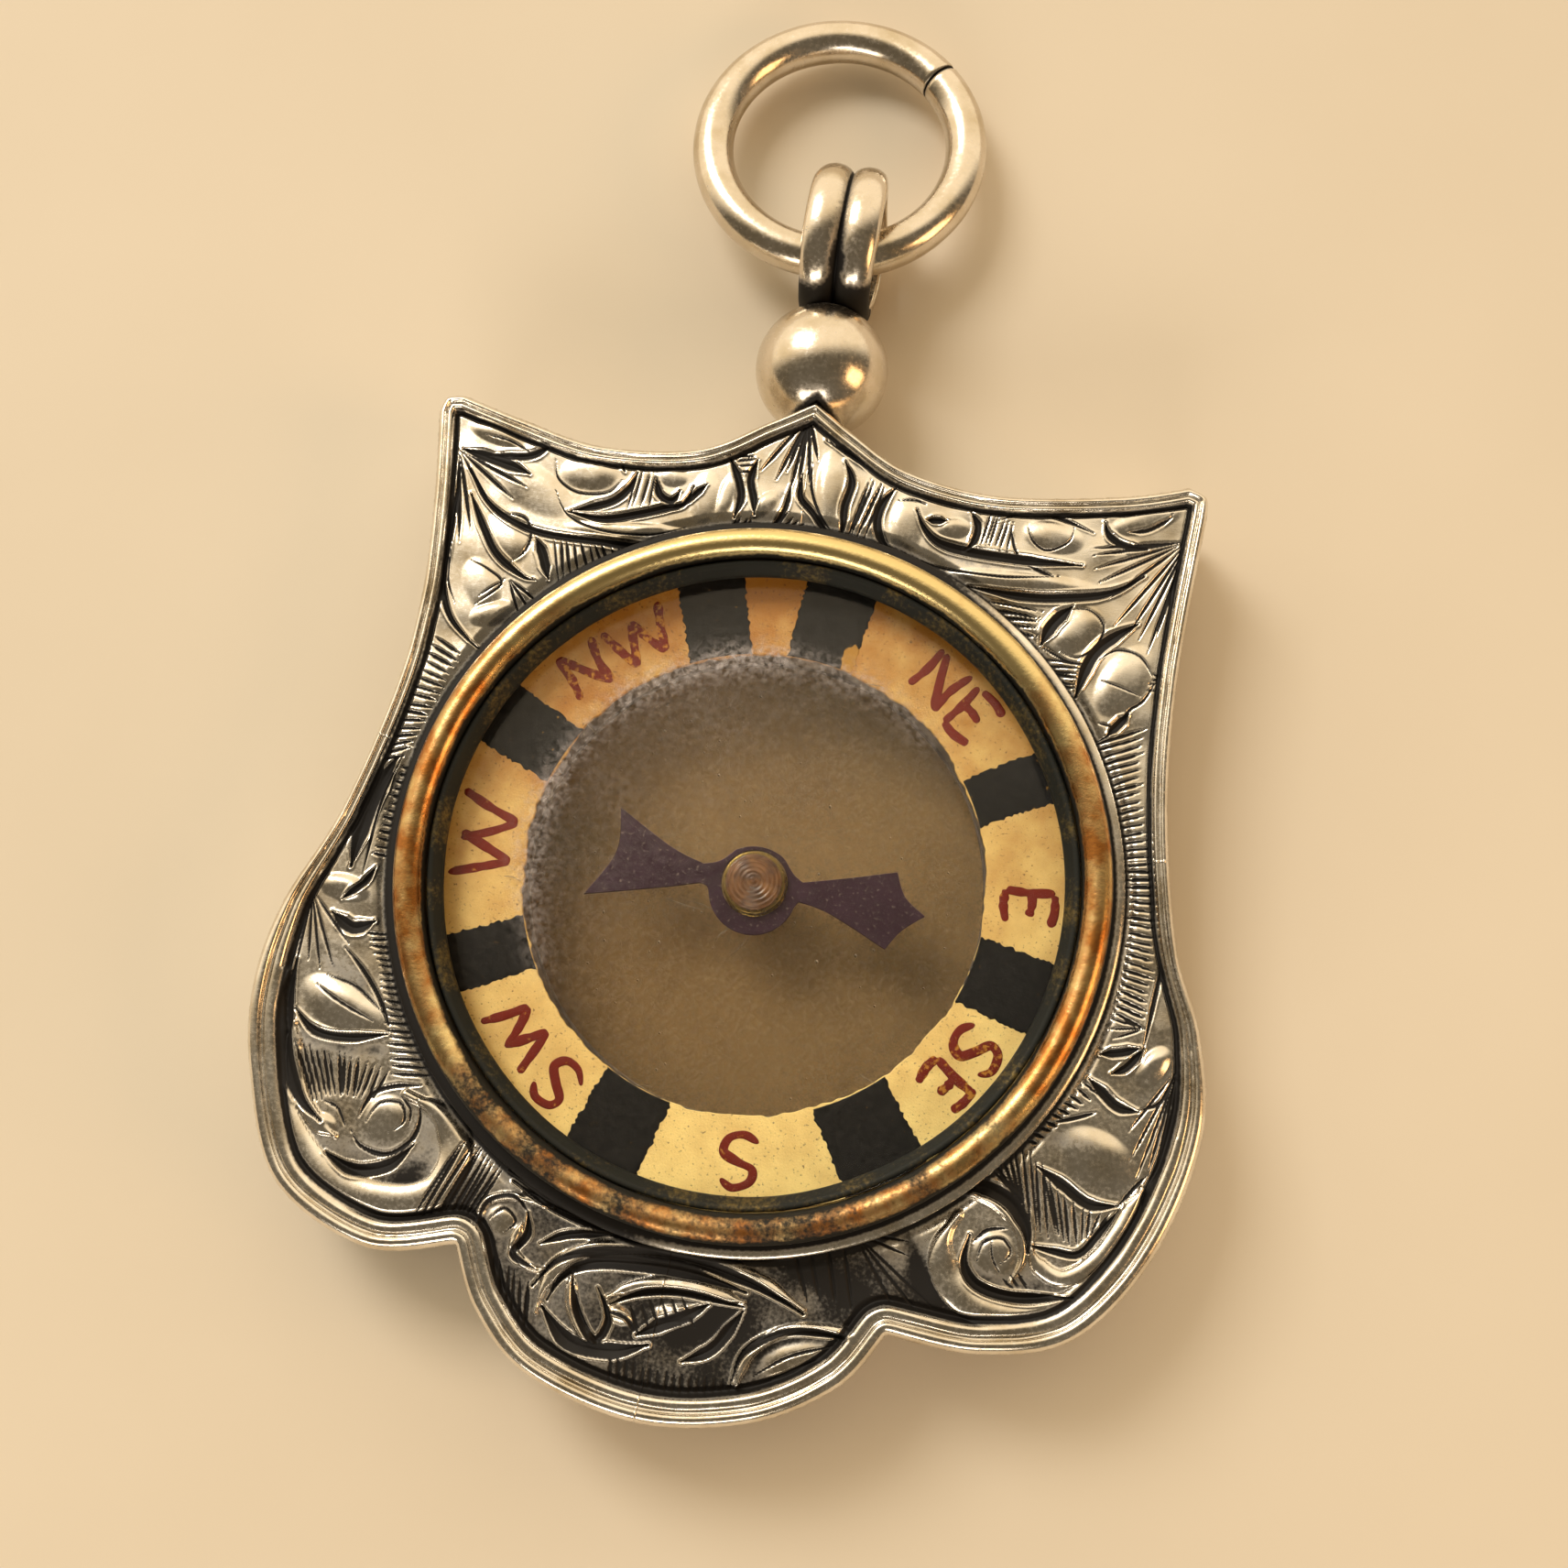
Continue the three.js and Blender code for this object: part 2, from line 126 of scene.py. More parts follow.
# %% Colours and shader nodes
def linear(code):
    """sRGB hex to linear RGBA: c / 12.92 when dark, else ((c + 0.055) / 1.055) to the 2.4."""
    parts = np.array([int(code[i:i + 2], 16) for i in (1, 3, 5)]) / 255
    dark = parts / 12.92
    light = ((parts + 0.055) / 1.055) ** 2.4
    return (*np.where(parts <= 0.04045, dark, light), 1.0)


class Nodes:
    """A node tree. One method adds any node, and the rest are short names for common ones."""

    def __init__(self, tree):
        """Any tree will do: a material's or a world's."""
        self.tree = tree

    def set(self, node, values):
        """Links a socket, turns a hex colour into light, or writes any other value as it is."""
        for socket, value in values.items():
            if isinstance(value, bpy.types.NodeSocket):
                self.tree.links.new(value, node.inputs[socket])
            elif isinstance(value, str):
                node.inputs[socket].default_value = linear(value)
            else:
                node.inputs[socket].default_value = value

    def add(self, kind, out=0, settings=None, **values):
        """Adds a node of a kind, sets its own settings and its inputs, and gives an output."""
        node = self.tree.nodes.new(kind)
        for key, value in (settings or {}).items():
            setattr(node, key, value)
        self.set(node, {(int(k[1:]) if k[1:].isdigit() else k): v for k, v in values.items()})
        return node.outputs[out]

    def noise(self, place, lumps, detail, roughness=0.5):
        """Cloudy noise between 0 and 1, with this many lumps to the metre."""
        return self.add("ShaderNodeTexNoise", Vector=place, Scale=lumps, Detail=detail,
                        Roughness=roughness)

    def remap(self, value, low_in, high_in, low_out=0.0, high_out=1.0, soft=False):
        """A value carried from one range to another and held inside it, soft at both ends or
        straight."""
        curve = {"interpolation_type": "SMOOTHSTEP" if soft else "LINEAR"}
        return self.add("ShaderNodeMapRange", settings=curve, i0=value, i1=low_in, i2=high_in,
                        i3=low_out, i4=high_out)

    def mix(self, share, first, second):
        """Colour between the first, at share 0, and the second, at share 1."""
        return self.add("ShaderNodeMix", out=2, settings={"data_type": "RGBA"}, i0=share,
                        i6=first, i7=second)

    def either(self, share, first, second):
        """Shader between the first, at share 0, and the second, at share 1."""
        return self.add("ShaderNodeMixShader", i0=share, i1=first, i2=second)

    def total(self, first, second, clamp=False):
        """Sum of two values, held between 0 and 1 if clamped."""
        return self.add("ShaderNodeMath", settings={"operation": "ADD", "use_clamp": clamp},
                        i0=first, i1=second)

    def scaled(self, value, factor, shift):
        """Value times the factor plus the shift."""
        return self.add("ShaderNodeMath", settings={"operation": "MULTIPLY_ADD"}, i0=value,
                        i1=factor, i2=shift)

    def bump(self, height, strength, distance):
        """Normal tilted by a height, in metres at full strength."""
        return self.add("ShaderNodeBump", Height=height, Strength=strength, Distance=distance)

    def painted(self, name):
        """A number written on each vertex of the piece."""
        return self.add("ShaderNodeAttribute", out=2, settings={"attribute_name": name})


class Finish(Nodes):
    """A new material, with its shader and its output at hand."""

    def __init__(self, name):
        """Makes the material and keeps its tree."""
        self.material = bpy.data.materials.new(name)
        self.material.use_nodes = True
        super().__init__(self.material.node_tree)
        self.shader = self.tree.nodes["Principled BSDF"]
        self.output = self.tree.nodes["Material Output"]

    def wear(self, **values):
        """Sets the shader's own inputs, with _ for a space in their names."""
        self.set(self.shader, {key.replace("_", " "): value for key, value in values.items()})


print("linear mid grey:", round(linear("#808080")[0], 3))

# %% [markdown]
# Old silver is bright where fingers rub it and nearly black where sulphide sits in the cuts.
# The surface functions below write that as a number on each vertex, so the black follows the
# engraver's strokes exactly; the same number also carries painted shade on broad ground, on the
# lower lobes and round the hole. Fine noise breaks its edge up and scratches the metal.

# %% Silver
def object_place(finish, stretch=(1, 1, 1), turn=0.0):
    """Place on the object, in metres, turned about Z and stretched."""
    place = finish.add("ShaderNodeTexCoord", out=3)
    return finish.add("ShaderNodeMapping", i0=place, Rotation=(0, 0, turn), Scale=stretch)


def silver_finish(name, bright, rough, scratch_tilt):
    """Sterling silver, rubbed and oxidised: bright mirror leaves with black in the cuts."""
    finish = Finish(name)
    place = object_place(finish)
    # This number is oxide in the cuts and, on the silver, also painted shade.
    oxide = finish.painted("oxide")
    # Patches of thin tarnish about 1 mm across.
    cloud = finish.noise(place, 900.0, 5.0)
    grain = finish.noise(place, 9000.0, 4.0)
    edge = finish.scaled(grain, 0.5, -0.25)
    broken = finish.total(oxide, edge, clamp=True)
    mask = finish.remap(broken, 0.14, 0.88, soft=True)
    film = finish.remap(cloud, 0.4, 0.8)
    metal = finish.mix(film, bright, "#c2b398")
    colour = finish.mix(mask, metal, "#15110e")
    rough_metal = finish.remap(grain, 0.3, 0.7, rough - 0.06, rough + 0.1)
    roughness = finish.add("ShaderNodeMix", i0=mask, i2=rough_metal, i3=0.62)
    metallic = finish.remap(mask, 0.0, 1.0, 1.0, 0.35)
    # Hairlines from years of rubbing, 0.03 mm apart and long one way.
    along = object_place(finish, (1, 9, 1), scratch_tilt)
    hair = finish.noise(along, 4200.0, 3.0)
    rubbed = finish.total(hair, grain)
    bump = finish.bump(rubbed, 0.05, 0.00002)
    finish.wear(Base_Color=colour, Roughness=roughness, Metallic=metallic, Normal=bump)
    return finish.material


engraved_silver = silver_finish("engraved_sterling_silver", "#efe9df", 0.2, 0.6)
polished_silver = silver_finish("rubbed_sterling_silver", "#dfd5c7", 0.19, -0.4)
plain_silver = silver_finish("planished_sterling_silver", "#e9e3d8", 0.24, 0.2)
print("silvers:", engraved_silver.name, polished_silver.name, plain_silver.name)

# %% [markdown]
# The bezel is gilt brass. Gold is left on the crest where dirt is rubbed off, the copper in the
# brass shows as orange-brown patches, and green-black grime stays along both feet.

# %% Gilt brass
def gilt_finish(name, gold, patch, grime):
    """Gilded brass, turned and long worn: gold crest, copper patches, green-black grime."""
    finish = Finish(name)
    place = object_place(finish)
    oxide = finish.painted("oxide")
    copper = finish.painted("copper")
    # Pits of grime 0.15 mm across.
    pit = finish.noise(place, 7000.0, 6.0, 0.65)
    patchy = finish.noise(place, 1500.0, 5.0)
    spotty = finish.scaled(pit, 0.9, -0.45)
    dirt = finish.total(oxide, spotty)
    mask = finish.remap(dirt, 0.25, 0.8, soft=True)
    red = finish.scaled(patchy, 1.4, -0.75)
    red_sum = finish.total(copper, red)
    red_mask = finish.remap(red_sum, 0.2, 0.8)
    metal = finish.mix(red_mask, gold, patch)
    colour = finish.mix(mask, metal, grime)
    roughness = finish.remap(mask, 0.0, 1.0, 0.27, 0.66)
    metallic = finish.remap(mask, 0.0, 1.0, 1.0, 0.3)
    bump = finish.bump(pit, 0.3, 0.00003)
    finish.wear(Base_Color=colour, Roughness=roughness, Metallic=metallic, Normal=bump)
    return finish.material


gilt_brass = gilt_finish("worn_gilt_brass", "#e6cf94", "#b0743c", "#1a170e")
dark_brass = gilt_finish("tarnished_brass", "#8a7440", "#6a4a2a", "#14160f")
print("brasses:", gilt_brass.name, dark_brass.name)

# %% [markdown]
# The card is paper painted with bronze powder in a yellow varnish, peppered with brown specks. Its
# colour runs from darker ochre at the top to gold at the sides and pale at the bottom: painted
# shadow from the bezel above and painted light below. The bars are brushed on in black ink and the
# letters in a brown-red one.

# %% Card, inks and board
def paper_finish(name, deep, pale, speck):
    """Varnished gilt paper: mottled ochre, specks of foxing, a faint sheen."""
    finish = Finish(name)
    place = object_place(finish)
    # On the card the pale number carries painted shadow and light besides tone; on the board, tone
    # only.
    side = finish.painted("pale")
    cloud = finish.noise(place, 1100.0, 6.0)
    blend = finish.scaled(cloud, 0.9, -0.45)
    tone = finish.total(side, blend, clamp=True)
    base = finish.mix(tone, deep, pale)
    fine = finish.noise(place, 11000.0, 3.0)
    spots = finish.remap(fine, 0.62, 0.72, 0.0, 0.75)
    colour = finish.mix(spots, base, speck)
    fibre = finish.noise(place, 16000.0, 4.0)
    bump = finish.bump(fibre, 0.5, 0.00003)
    finish.wear(Base_Color=colour, Roughness=0.55, Normal=bump)
    return finish.material


def ink_finish(name, ink, bare, cover):
    """Brushed ink on paper: solid in the stroke, gone where it was rubbed or ran dry."""
    finish = Finish(name)
    place = object_place(finish)
    dry = finish.noise(place, 6000.0, 5.0)
    worn = finish.painted("worn")
    thin = finish.total(dry, worn)
    gaps = finish.remap(thin, cover, cover + 0.1, 0.0, 0.9)
    colour = finish.mix(gaps, ink, bare)
    bump = finish.bump(dry, 0.3, 0.00002)
    finish.wear(Base_Color=colour, Roughness=0.7, Specular_IOR_Level=0.2, Normal=bump)
    return finish.material


gilt_paper = paper_finish("varnished_gilt_paper", "#a8701d", "#f8df94", "#4f3414")
# The board's colours are darkened as painted shade, for the shadow the card casts on its wall.
pulp_board = paper_finish("dusty_pulp_board_in_painted_shade", "#3d332b", "#6e6052", "#221c17")
black_ink = ink_finish("brushed_black_ink", "#08090b", "#b5873a", 0.7)
red_ink = ink_finish("brushed_red_ink", "#6e1a0c", "#b9812c", 0.66)
print("card:", gilt_paper.name, pulp_board.name, black_ink.name, red_ink.name)

# %% [markdown]
# The needle is spring steel heated until it turns purple. The colour is a film of oxide on
# metal, so the shader stays metallic and only the tint changes from place to place.

# %% Blued steel, pin, agate and dust
def blued_finish():
    """Heat-blued spring steel: aubergine with lilac and brown drifts and pale dust."""
    finish = Finish("heat_blued_steel")
    place = object_place(finish)
    drift = finish.noise(place, 1400.0, 5.0)
    tint = finish.mix(drift, "#2c1b27", "#493446")
    fine = finish.noise(place, 9000.0, 4.0)
    dust = finish.remap(fine, 0.6, 0.7, 0.0, 0.6)
    colour = finish.mix(dust, tint, "#8b7d78")
    bump = finish.bump(fine, 0.25, 0.00002)
    finish.wear(Base_Color=colour, Metallic=0.75, Roughness=0.38, Normal=bump)
    return finish.material


def simple_finish(name, first, second, scale, **shader):
    """Two tones of one stuff, drifting at a scale, over a plain shader."""
    finish = Finish(name)
    cloud = finish.noise(object_place(finish), scale, 5.0)
    sharp = finish.remap(cloud, 0.35, 0.65)
    colour = finish.mix(sharp, first, second)
    bump = finish.bump(cloud, 0.2, 0.00003)
    finish.wear(Base_Color=colour, Normal=bump, **shader)
    return finish.material


blued_steel = blued_finish()
pin_steel = simple_finish("ground_steel", "#8d8f92", "#6b6a66", 6000.0,
                          Metallic=1.0, Roughness=0.3)
agate = simple_finish("polished_agate", "#7a5638", "#4a3428", 2500.0,
                      Roughness=0.18, Coat_Weight=0.4)
dust = simple_finish("grey_dust", "#a39a8c", "#6f675c", 9000.0, Roughness=0.95)
print("small parts:", blued_steel.name, pin_steel.name, agate.name, dust.name)

# %% [markdown]
# The front glass is thin and slightly domed, and the rear one is flat. A real glass throws a
# bright, noisy shadow in a path tracer, so for shadow rays it's simply tinted and clear. A film
# of dust hangs on the inside, thickest towards the upper left, where a whitish crescent along the
# card's edge is both dust and a painted reflection of that edge.

# %% Glass
def glass_finish(name, index, haze, dust_and_reflection_colour, tint, shadow):
    """Soda glass, ground and polished: clear, sharp highlights, a breath of dust."""
    finish = Finish(name)
    finish.wear(Base_Color=tint, Roughness=0.02, Transmission_Weight=1.0, IOR=index)
    place = object_place(finish)
    film = finish.painted("dust")
    fine = finish.noise(place, 5000.0, 8.0, 0.7)
    speckle = finish.remap(fine, 0.44, 0.64, 0.0, haze)
    cover = finish.add("ShaderNodeMath", settings={"operation": "MULTIPLY"}, i0=film,
                       i1=speckle)
    # This diffuse film is dust, and on the front glass also a painted reflection of the card's
    # edge.
    film_shader = finish.add("ShaderNodeBsdfDiffuse", Color=dust_and_reflection_colour)
    dust_and_reflection = finish.either(cover, finish.shader.outputs[0], film_shader)
    shadow_ray = finish.add("ShaderNodeLightPath", out=1)
    clear = finish.add("ShaderNodeBsdfTransparent", Color=shadow)
    mixed = finish.either(shadow_ray, dust_and_reflection, clear)
    finish.tree.links.new(mixed, finish.output.inputs["Surface"])
    return finish.material


# The front one is given less bend than glass has, so that the bright room veils the dial less.
soda_glass = glass_finish("domed_soda_glass", 1.27, 0.85, "#c6bfc0", "#f8f7f2", "#f2f0ea")
back_glass = glass_finish("flat_soda_glass", 1.5, 0.5, "#75634b", "#d2c6b2", "#d8cebc")
print("finishes:", len(bpy.data.materials))

# %% [markdown]
# Every piece goes through one maker. It moves the numbers from millimetres at the needle's axis
# to metres in the imported frame, turns the faces outwards if the enclosed volume comes out
# negative, ties the piece to its body and its finish, and hides the imported part it stands for.

# %% Making a piece
def volume(points, faces):
    """Signed volume: the sum of a . (b x c) / 6 over triangles fanned from each face."""
    total = 0.0
    for corner in range(1, faces.shape[1] - 1):
        a, b, c = (points[faces[:, k]] for k in (0, corner, corner + 1))
        total += np.einsum("ij,ij->i", a, np.cross(b, c)).sum() / 6
    return total


def make_piece(name, points, faces, finish, slot, body, nodes=(), caps=(), smooth_caps=False,
               **attributes):
    """Mesh object from arrays: points in millimetres, quads or triangles, and end caps."""
    centred = points - points.mean(axis=0)
    turn = -1 if volume(centred, faces) < 0 else 1
    mesh = bpy.data.meshes.new(name)
    row = [face[::turn] for face in faces.tolist()] + [list(cap)[::turn] for cap in caps]
    mesh.from_pydata(((points + PIVOT) * MM).tolist(), [], row)
    smooth = np.ones(len(mesh.polygons), bool)
    smooth[len(faces):] = smooth_caps
    mesh.polygons.foreach_set("use_smooth", smooth)
    for key, values in attributes.items():
        layer = mesh.attributes.new(key, "FLOAT", "POINT")
        layer.data.foreach_set("value", np.asarray(values, np.float32).ravel())
    mesh.materials.append(finish)
    piece = bpy.data.objects.new(name, mesh)
    bpy.context.scene.collection.objects.link(piece)
    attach(piece, body)
    if nodes:
        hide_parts(*nodes)
    print(f"{name}: {len(mesh.vertices)} vertices")
    return piece


def quads(rows, columns, wrap_rows=False, wrap_columns=False, start=0):
    """Faces of a grid whose point (i, j) has number start + i * columns + j."""
    i = np.arange(rows if wrap_rows else rows - 1)[:, None]
    j = np.arange(columns if wrap_columns else columns - 1)[None, :]
    i2, j2 = (i + 1) % rows, (j + 1) % columns
    square = [i * columns + j, i * columns + j2, i2 * columns + j2, i2 * columns + j]
    return start + np.stack(np.broadcast_arrays(*square), -1).reshape(-1, 4)


# %% [markdown]
# Turned parts come off a lathe as a profile spun about an axis. The profile is drawn with sharp
# corners, each corner is eased by a short curve, and long stretches get more points so that the
# light rolls over them evenly.

# %% Turned parts
def eased(profile, ease, bends=5, closed=True):
    """Each corner b between a and c becomes the curve (1-t)^2 p + 2t(1-t) b + t^2 q, where p
    and q lie `ease` before and after b, or halfway if the side is short."""
    points = np.array(profile, float)
    t = np.linspace(0, 1, bends)[:, None]
    made = []
    for k, b in enumerate(points):
        if not closed and k in (0, len(points) - 1):
            made.append(b[None])
            continue
        a, c = points[k - 1], points[(k + 1) % len(points)]
        reach_a = min(ease, 0.48 * np.linalg.norm(a - b))
        reach_c = min(ease, 0.48 * np.linalg.norm(c - b))
        p = b + (a - b) / np.linalg.norm(a - b) * reach_a
        q = b + (c - b) / np.linalg.norm(c - b) * reach_c
        made.append((1 - t) ** 2 * p + 2 * t * (1 - t) * b + t ** 2 * q)
    return np.vstack(made)


def spaced(points, pitch, closed=True):
    """The same line with extra points, so that no step is longer than the pitch."""
    ends = np.vstack([points, points[:1]]) if closed else points
    made = []
    for a, b in zip(ends[:-1], ends[1:]):
        count = max(1, int(np.ceil(np.linalg.norm(b - a) / pitch)))
        made.append(a + (b - a) * (np.arange(count) / count)[:, None])
    if not closed:
        made.append(ends[-1:])
    return np.vstack(made)


def spun(profile, steps=256, shift=None, axis_at=(0.0, 0.0)):
    """Body of revolution: x = r cos u, y = r sin u, z = z. A profile that starts and ends on
    the axis gets a single point at each pole; any other closes on itself. `shift` may move
    (r, z) as a function of the angle."""
    r, z = np.asarray(profile, float).T
    angle = np.arange(steps) / steps * 2 * np.pi
    poles = r[0] == 0
    if poles:
        ends = np.array([[*axis_at, z[0]], [*axis_at, z[-1]]])
        r, z = r[1:-1], z[1:-1]
    u, r = np.meshgrid(angle, r, indexing="ij")
    z = np.broadcast_to(z, r.shape).copy()
    if shift:
        r, z = shift(u, r, z)
    x, y = axis_at[0] + r * np.cos(u), axis_at[1] + r * np.sin(u)
    points = np.stack([x, y, z], -1).reshape(-1, 3)
    count = r.shape[1]
    faces = quads(steps, count, wrap_rows=True, wrap_columns=not poles)
    if not poles:
        return points, faces, ()
    points = np.vstack([points, ends])
    here = np.arange(steps) * count
    after = np.roll(here, -1)
    first, last = len(points) - 2, len(points) - 1
    fans = [np.stack([here, after, np.full(steps, first)], -1),
            np.stack([after + count - 1, here + count - 1, np.full(steps, last)], -1)]
    return points, faces, np.vstack(fans)


def turned(name, profile, finish, slot, body="case", nodes=(), paint=None, **spin):
    """A turned piece. `paint` gives its attributes from the points."""
    points, faces, fans = spun(profile, **spin)
    layers = paint(points) if paint else {}
    return make_piece(name, points, faces, finish, slot, body, nodes, fans, True, **layers)


def ripple(x, y, size, seed=0.0):
    """Smooth random height between about -1 and 1 that changes over `size`: a random value at
    each corner of a square lattice, joined by the smooth step 3t^2 - 2t^3."""
    lattice = np.random.default_rng(int(seed * 10) + 7).uniform(-1, 1, (64, 64))
    px, py = np.asarray(x) / size + 31.5, np.asarray(y) / size + 31.5
    ix, iy = np.floor(px).astype(int), np.floor(py).astype(int)
    sx, sy = px - ix, py - iy
    sx, sy = sx * sx * (3 - 2 * sx), sy * sy * (3 - 2 * sy)
    a, b = lattice[ix % 64, iy % 64], lattice[(ix + 1) % 64, iy % 64]
    c, d = lattice[ix % 64, (iy + 1) % 64], lattice[(ix + 1) % 64, (iy + 1) % 64]
    return (a * (1 - sx) + b * sx) * (1 - sy) + (c * (1 - sx) + d * sx) * sy


def bump_step(value, start, end):
    """Smooth step from 0 at start to 1 at end."""
    t = np.clip((value - start) / (end - start), 0, 1)
    return t * t * (3 - 2 * t)


print("a square corner eased:", len(eased([(0, 0), (1, 0), (1, 1), (0, 1)], 0.1)), "points")

# %% [markdown]
# The shield's edge is a run of curves through a few chosen points: hollow top, sharp horns,
# hollow flanks, two side lobes and one at the bottom. Each run is a Catmull-Rom curve, the kind
# that passes through its own points, so the outline can be read off the list.

# %% Outline of the shield
def through(points, pieces=8):
    """Catmull-Rom curve through the points. Between b and c, with neighbours a and d, the
    place is (2b + (c-a)t + (2a-5b+4c-d)t^2 + (3b-a-3c+d)t^3) / 2."""
    p = np.array(points, float)
    a = np.vstack([p[:1], p[:-2]])[:, None]
    b, c = p[:-1][:, None], p[1:][:, None]
    d = np.vstack([p[2:], p[-1:]])[:, None]
    t = (np.arange(pieces) / pieces)[None, :, None]
    curve = 2 * b + (c - a) * t + (2 * a - 5 * b + 4 * c - d) * t ** 2
    curve = (curve + (3 * b - a - 3 * c + d) * t ** 3) / 2
    return np.vstack([curve.reshape(-1, 2), p[-1:]])


OUTLINE_RUNS = [
    [(-0.6, 14.95), (-2, 14.05), (-4, 12.88), (-7, 12.53), (-9.5, 13.0), (-11.5, 13.5)],
    [(-11.5, 13.5), (-12.05, 13.35), (-12.22, 12.85)],
    [(-12.22, 12.85), (-11.8, 10), (-11.56, 7), (-11.75, 4), (-12.6, 0), (-13.75, -3),
     (-14.1, -5.5), (-13.65, -8), (-12.2, -11), (-9.2, -12.38), (-6.6, -11.85)],
    [(-6.6, -11.85), (-5.7, -13.5), (-3.9, -15.0), (-0.6, -15.75), (2.6, -15.2),
     (4.9, -13.8), (6.0, -12.15)],
    [(6.0, -12.15), (8.6, -12.22), (11.2, -11.35), (13.1, -8.7), (14.0, -5.2),
     (13.55, -2.4), (12.55, 0), (11.75, 4), (11.5, 8), (11.7, 13.05)],
    [(11.7, 13.05), (11.62, 13.7), (11.05, 13.95)],
    [(11.05, 13.95), (9, 13.35), (5.4, 12.82), (2.6, 13.15), (0.8, 14.05), (-0.6, 14.95)],
]


def evenly(points, count):
    """`count` + 1 places at equal steps along a line."""
    step = np.linalg.norm(np.diff(points, axis=0), axis=1)
    run = np.concatenate([[0], np.cumsum(step)])
    places = np.linspace(0, run[-1], count + 1)
    return np.stack([np.interp(places, run, points[:, k]) for k in (0, 1)], -1)


OUTLINE_STEPS = 2400
outline = evenly(np.vstack([through(run, 24)[:-1] for run in OUTLINE_RUNS]
                           + [[OUTLINE_RUNS[0][0]]]), OUTLINE_STEPS)[:-1]
print("outline spans", outline.min(0).round(2), outline.max(0).round(2))

# %% [markdown]
# The engraver's plan. A cut is a stroke of the graver: its width and the few points it runs
# through. A hatch is a row of short cuts between two guide lines, and a fan is a spray of cuts
# from one spot. Bands and pads are the raised work: bands follow a line and pads are ovals.

# %% Strokes of the graver
CUTS = []
BANDS = []
PADS = []
SHADES = []


def cut(width, *points):
    """A V-shaped stroke of a width through its points."""
    CUTS.append((width, through(points, 6) if len(points) > 2 else np.array(points, float)))


def band(width, rise, *points):
    """A round raised band along its points."""
    BANDS.append((width, rise, through(points, 8)))


def pad(x, y, long, short, degrees, rise):
    """A soft raised oval: its middle, its two half widths, its turn and its height."""
    PADS.append((x, y, long, short, math.radians(degrees), rise))


def shade(width, strength, *points):
    """Painted shade: black laid along a broad stretch of ground, without a cut."""
    SHADES.append((width, strength, through(points, 6)))


def fan(origin, width, *tips):
    """A spray of straight cuts from just off one spot."""
    for tip in tips:
        start = np.array(origin) + (np.array(tip) - origin) * 0.08
        cut(width, tuple(start), tip)


def hatch(first, second, count, width, tremble=0.05):
    """Short cuts from one guide line to the other, as a steady but human hand lays them."""
    lines = [evenly(through(guide, 8), count - 1) for guide in (first, second)]
    hand = np.random.default_rng(count)
    for a, b in zip(*lines):
        slip = hand.uniform(-tremble, tremble, 4)
        CUTS.append((width * hand.uniform(0.8, 1.2), np.array([a + slip[:2], b + slip[2:]])))


print("a curve through three points:", len(through([(0, 0), (1, 1), (2, 0)], 6)), "places")

# %% [markdown]
# The left horn is a broad leaf. Ribs spray from the corner, longer cuts draw the edge of each lobe,
# pads swell the lobes between them, and the ground beside the bezel is hatched.

# %% Left horn
fan((-11.35, 11.75), 0.15, (-9.0, 10.85), (-9.4, 10.45), (-9.9, 9.95), (-10.5, 9.3),
    (-10.75, 8.8), (-11.0, 9.6))
cut(0.34, (-11.25, 11.8), (-10.1, 11.6), (-9.0, 11.3))
cut(0.22, (-10.9, 11.2), (-10.2, 10.3), (-9.3, 9.75), (-8.2, 9.5), (-6.5, 9.5), (-4.6, 9.65),
    (-3.3, 10.1))
cut(0.22, (-10.7, 10.4), (-10.1, 9.4), (-9.5, 8.6), (-8.6, 8.05), (-8.2, 8.0))
cut(0.2, (-11.2, 11.2), (-11.1, 9.0), (-11.0, 7.5), (-10.6, 6.5), (-9.9, 5.85), (-9.4, 5.55))
cut(0.09, (-10.95, 8.8), (-10.85, 7.6), (-10.5, 6.9))
cut(0.24, (-8.5, 12.5), (-8.8, 12.1), (-9.3, 11.85), (-10.4, 11.75))
cut(0.09, (-11.2, 13.0), (-10.2, 12.75), (-9.3, 12.45), (-8.6, 12.5))
cut(0.2, (-8.6, 12.25), (-7.5, 12.2), (-6.5, 12.25), (-6.1, 11.85))
cut(0.24, (-5.7, 11.9), (-5.9, 11.3), (-6.4, 10.8), (-7.5, 10.35))
cut(0.24, (-7.6, 10.3), (-6.5, 10.25), (-5.5, 10.55), (-4.6, 10.9), (-4.1, 11.1), (-3.9, 11.7))
cut(0.2, (-4.2, 11.0), (-3.5, 11.8))
cut(0.22, (-5.1, 11.8), (-4.9, 11.3), (-4.5, 11.15), (-4.3, 11.5))
cut(0.3, (-8.4, 9.3), (-8.1, 8.8), (-7.8, 8.1))
fan((-9.0, 7.9), 0.13, (-8.0, 7.35), (-8.2, 7.05), (-8.5, 6.85))
cut(0.08, (-9.1, 7.9), (-9.8, 7.2))
hatch([(-7.9, 9.35), (-6.6, 9.38), (-5.2, 9.45)], [(-7.5, 8.05), (-6.4, 8.8), (-5.0, 9.4)],
      13, 0.13)
hatch([(-5.75, 12.0), (-5.15, 11.9)], [(-5.85, 10.7), (-5.2, 10.8)], 4, 0.1)
cut(0.1, (-8.3, 11.9), (-8.1, 11.3), (-7.4, 10.95), (-6.5, 11.1), (-6.1, 11.6))
cut(0.09, (-10.6, 12.35), (-9.8, 12.25), (-9.1, 12.0))
cut(0.12, (-9.6, 9.95), (-8.9, 9.9), (-8.6, 9.4), (-8.7, 8.8), (-9.1, 8.4))
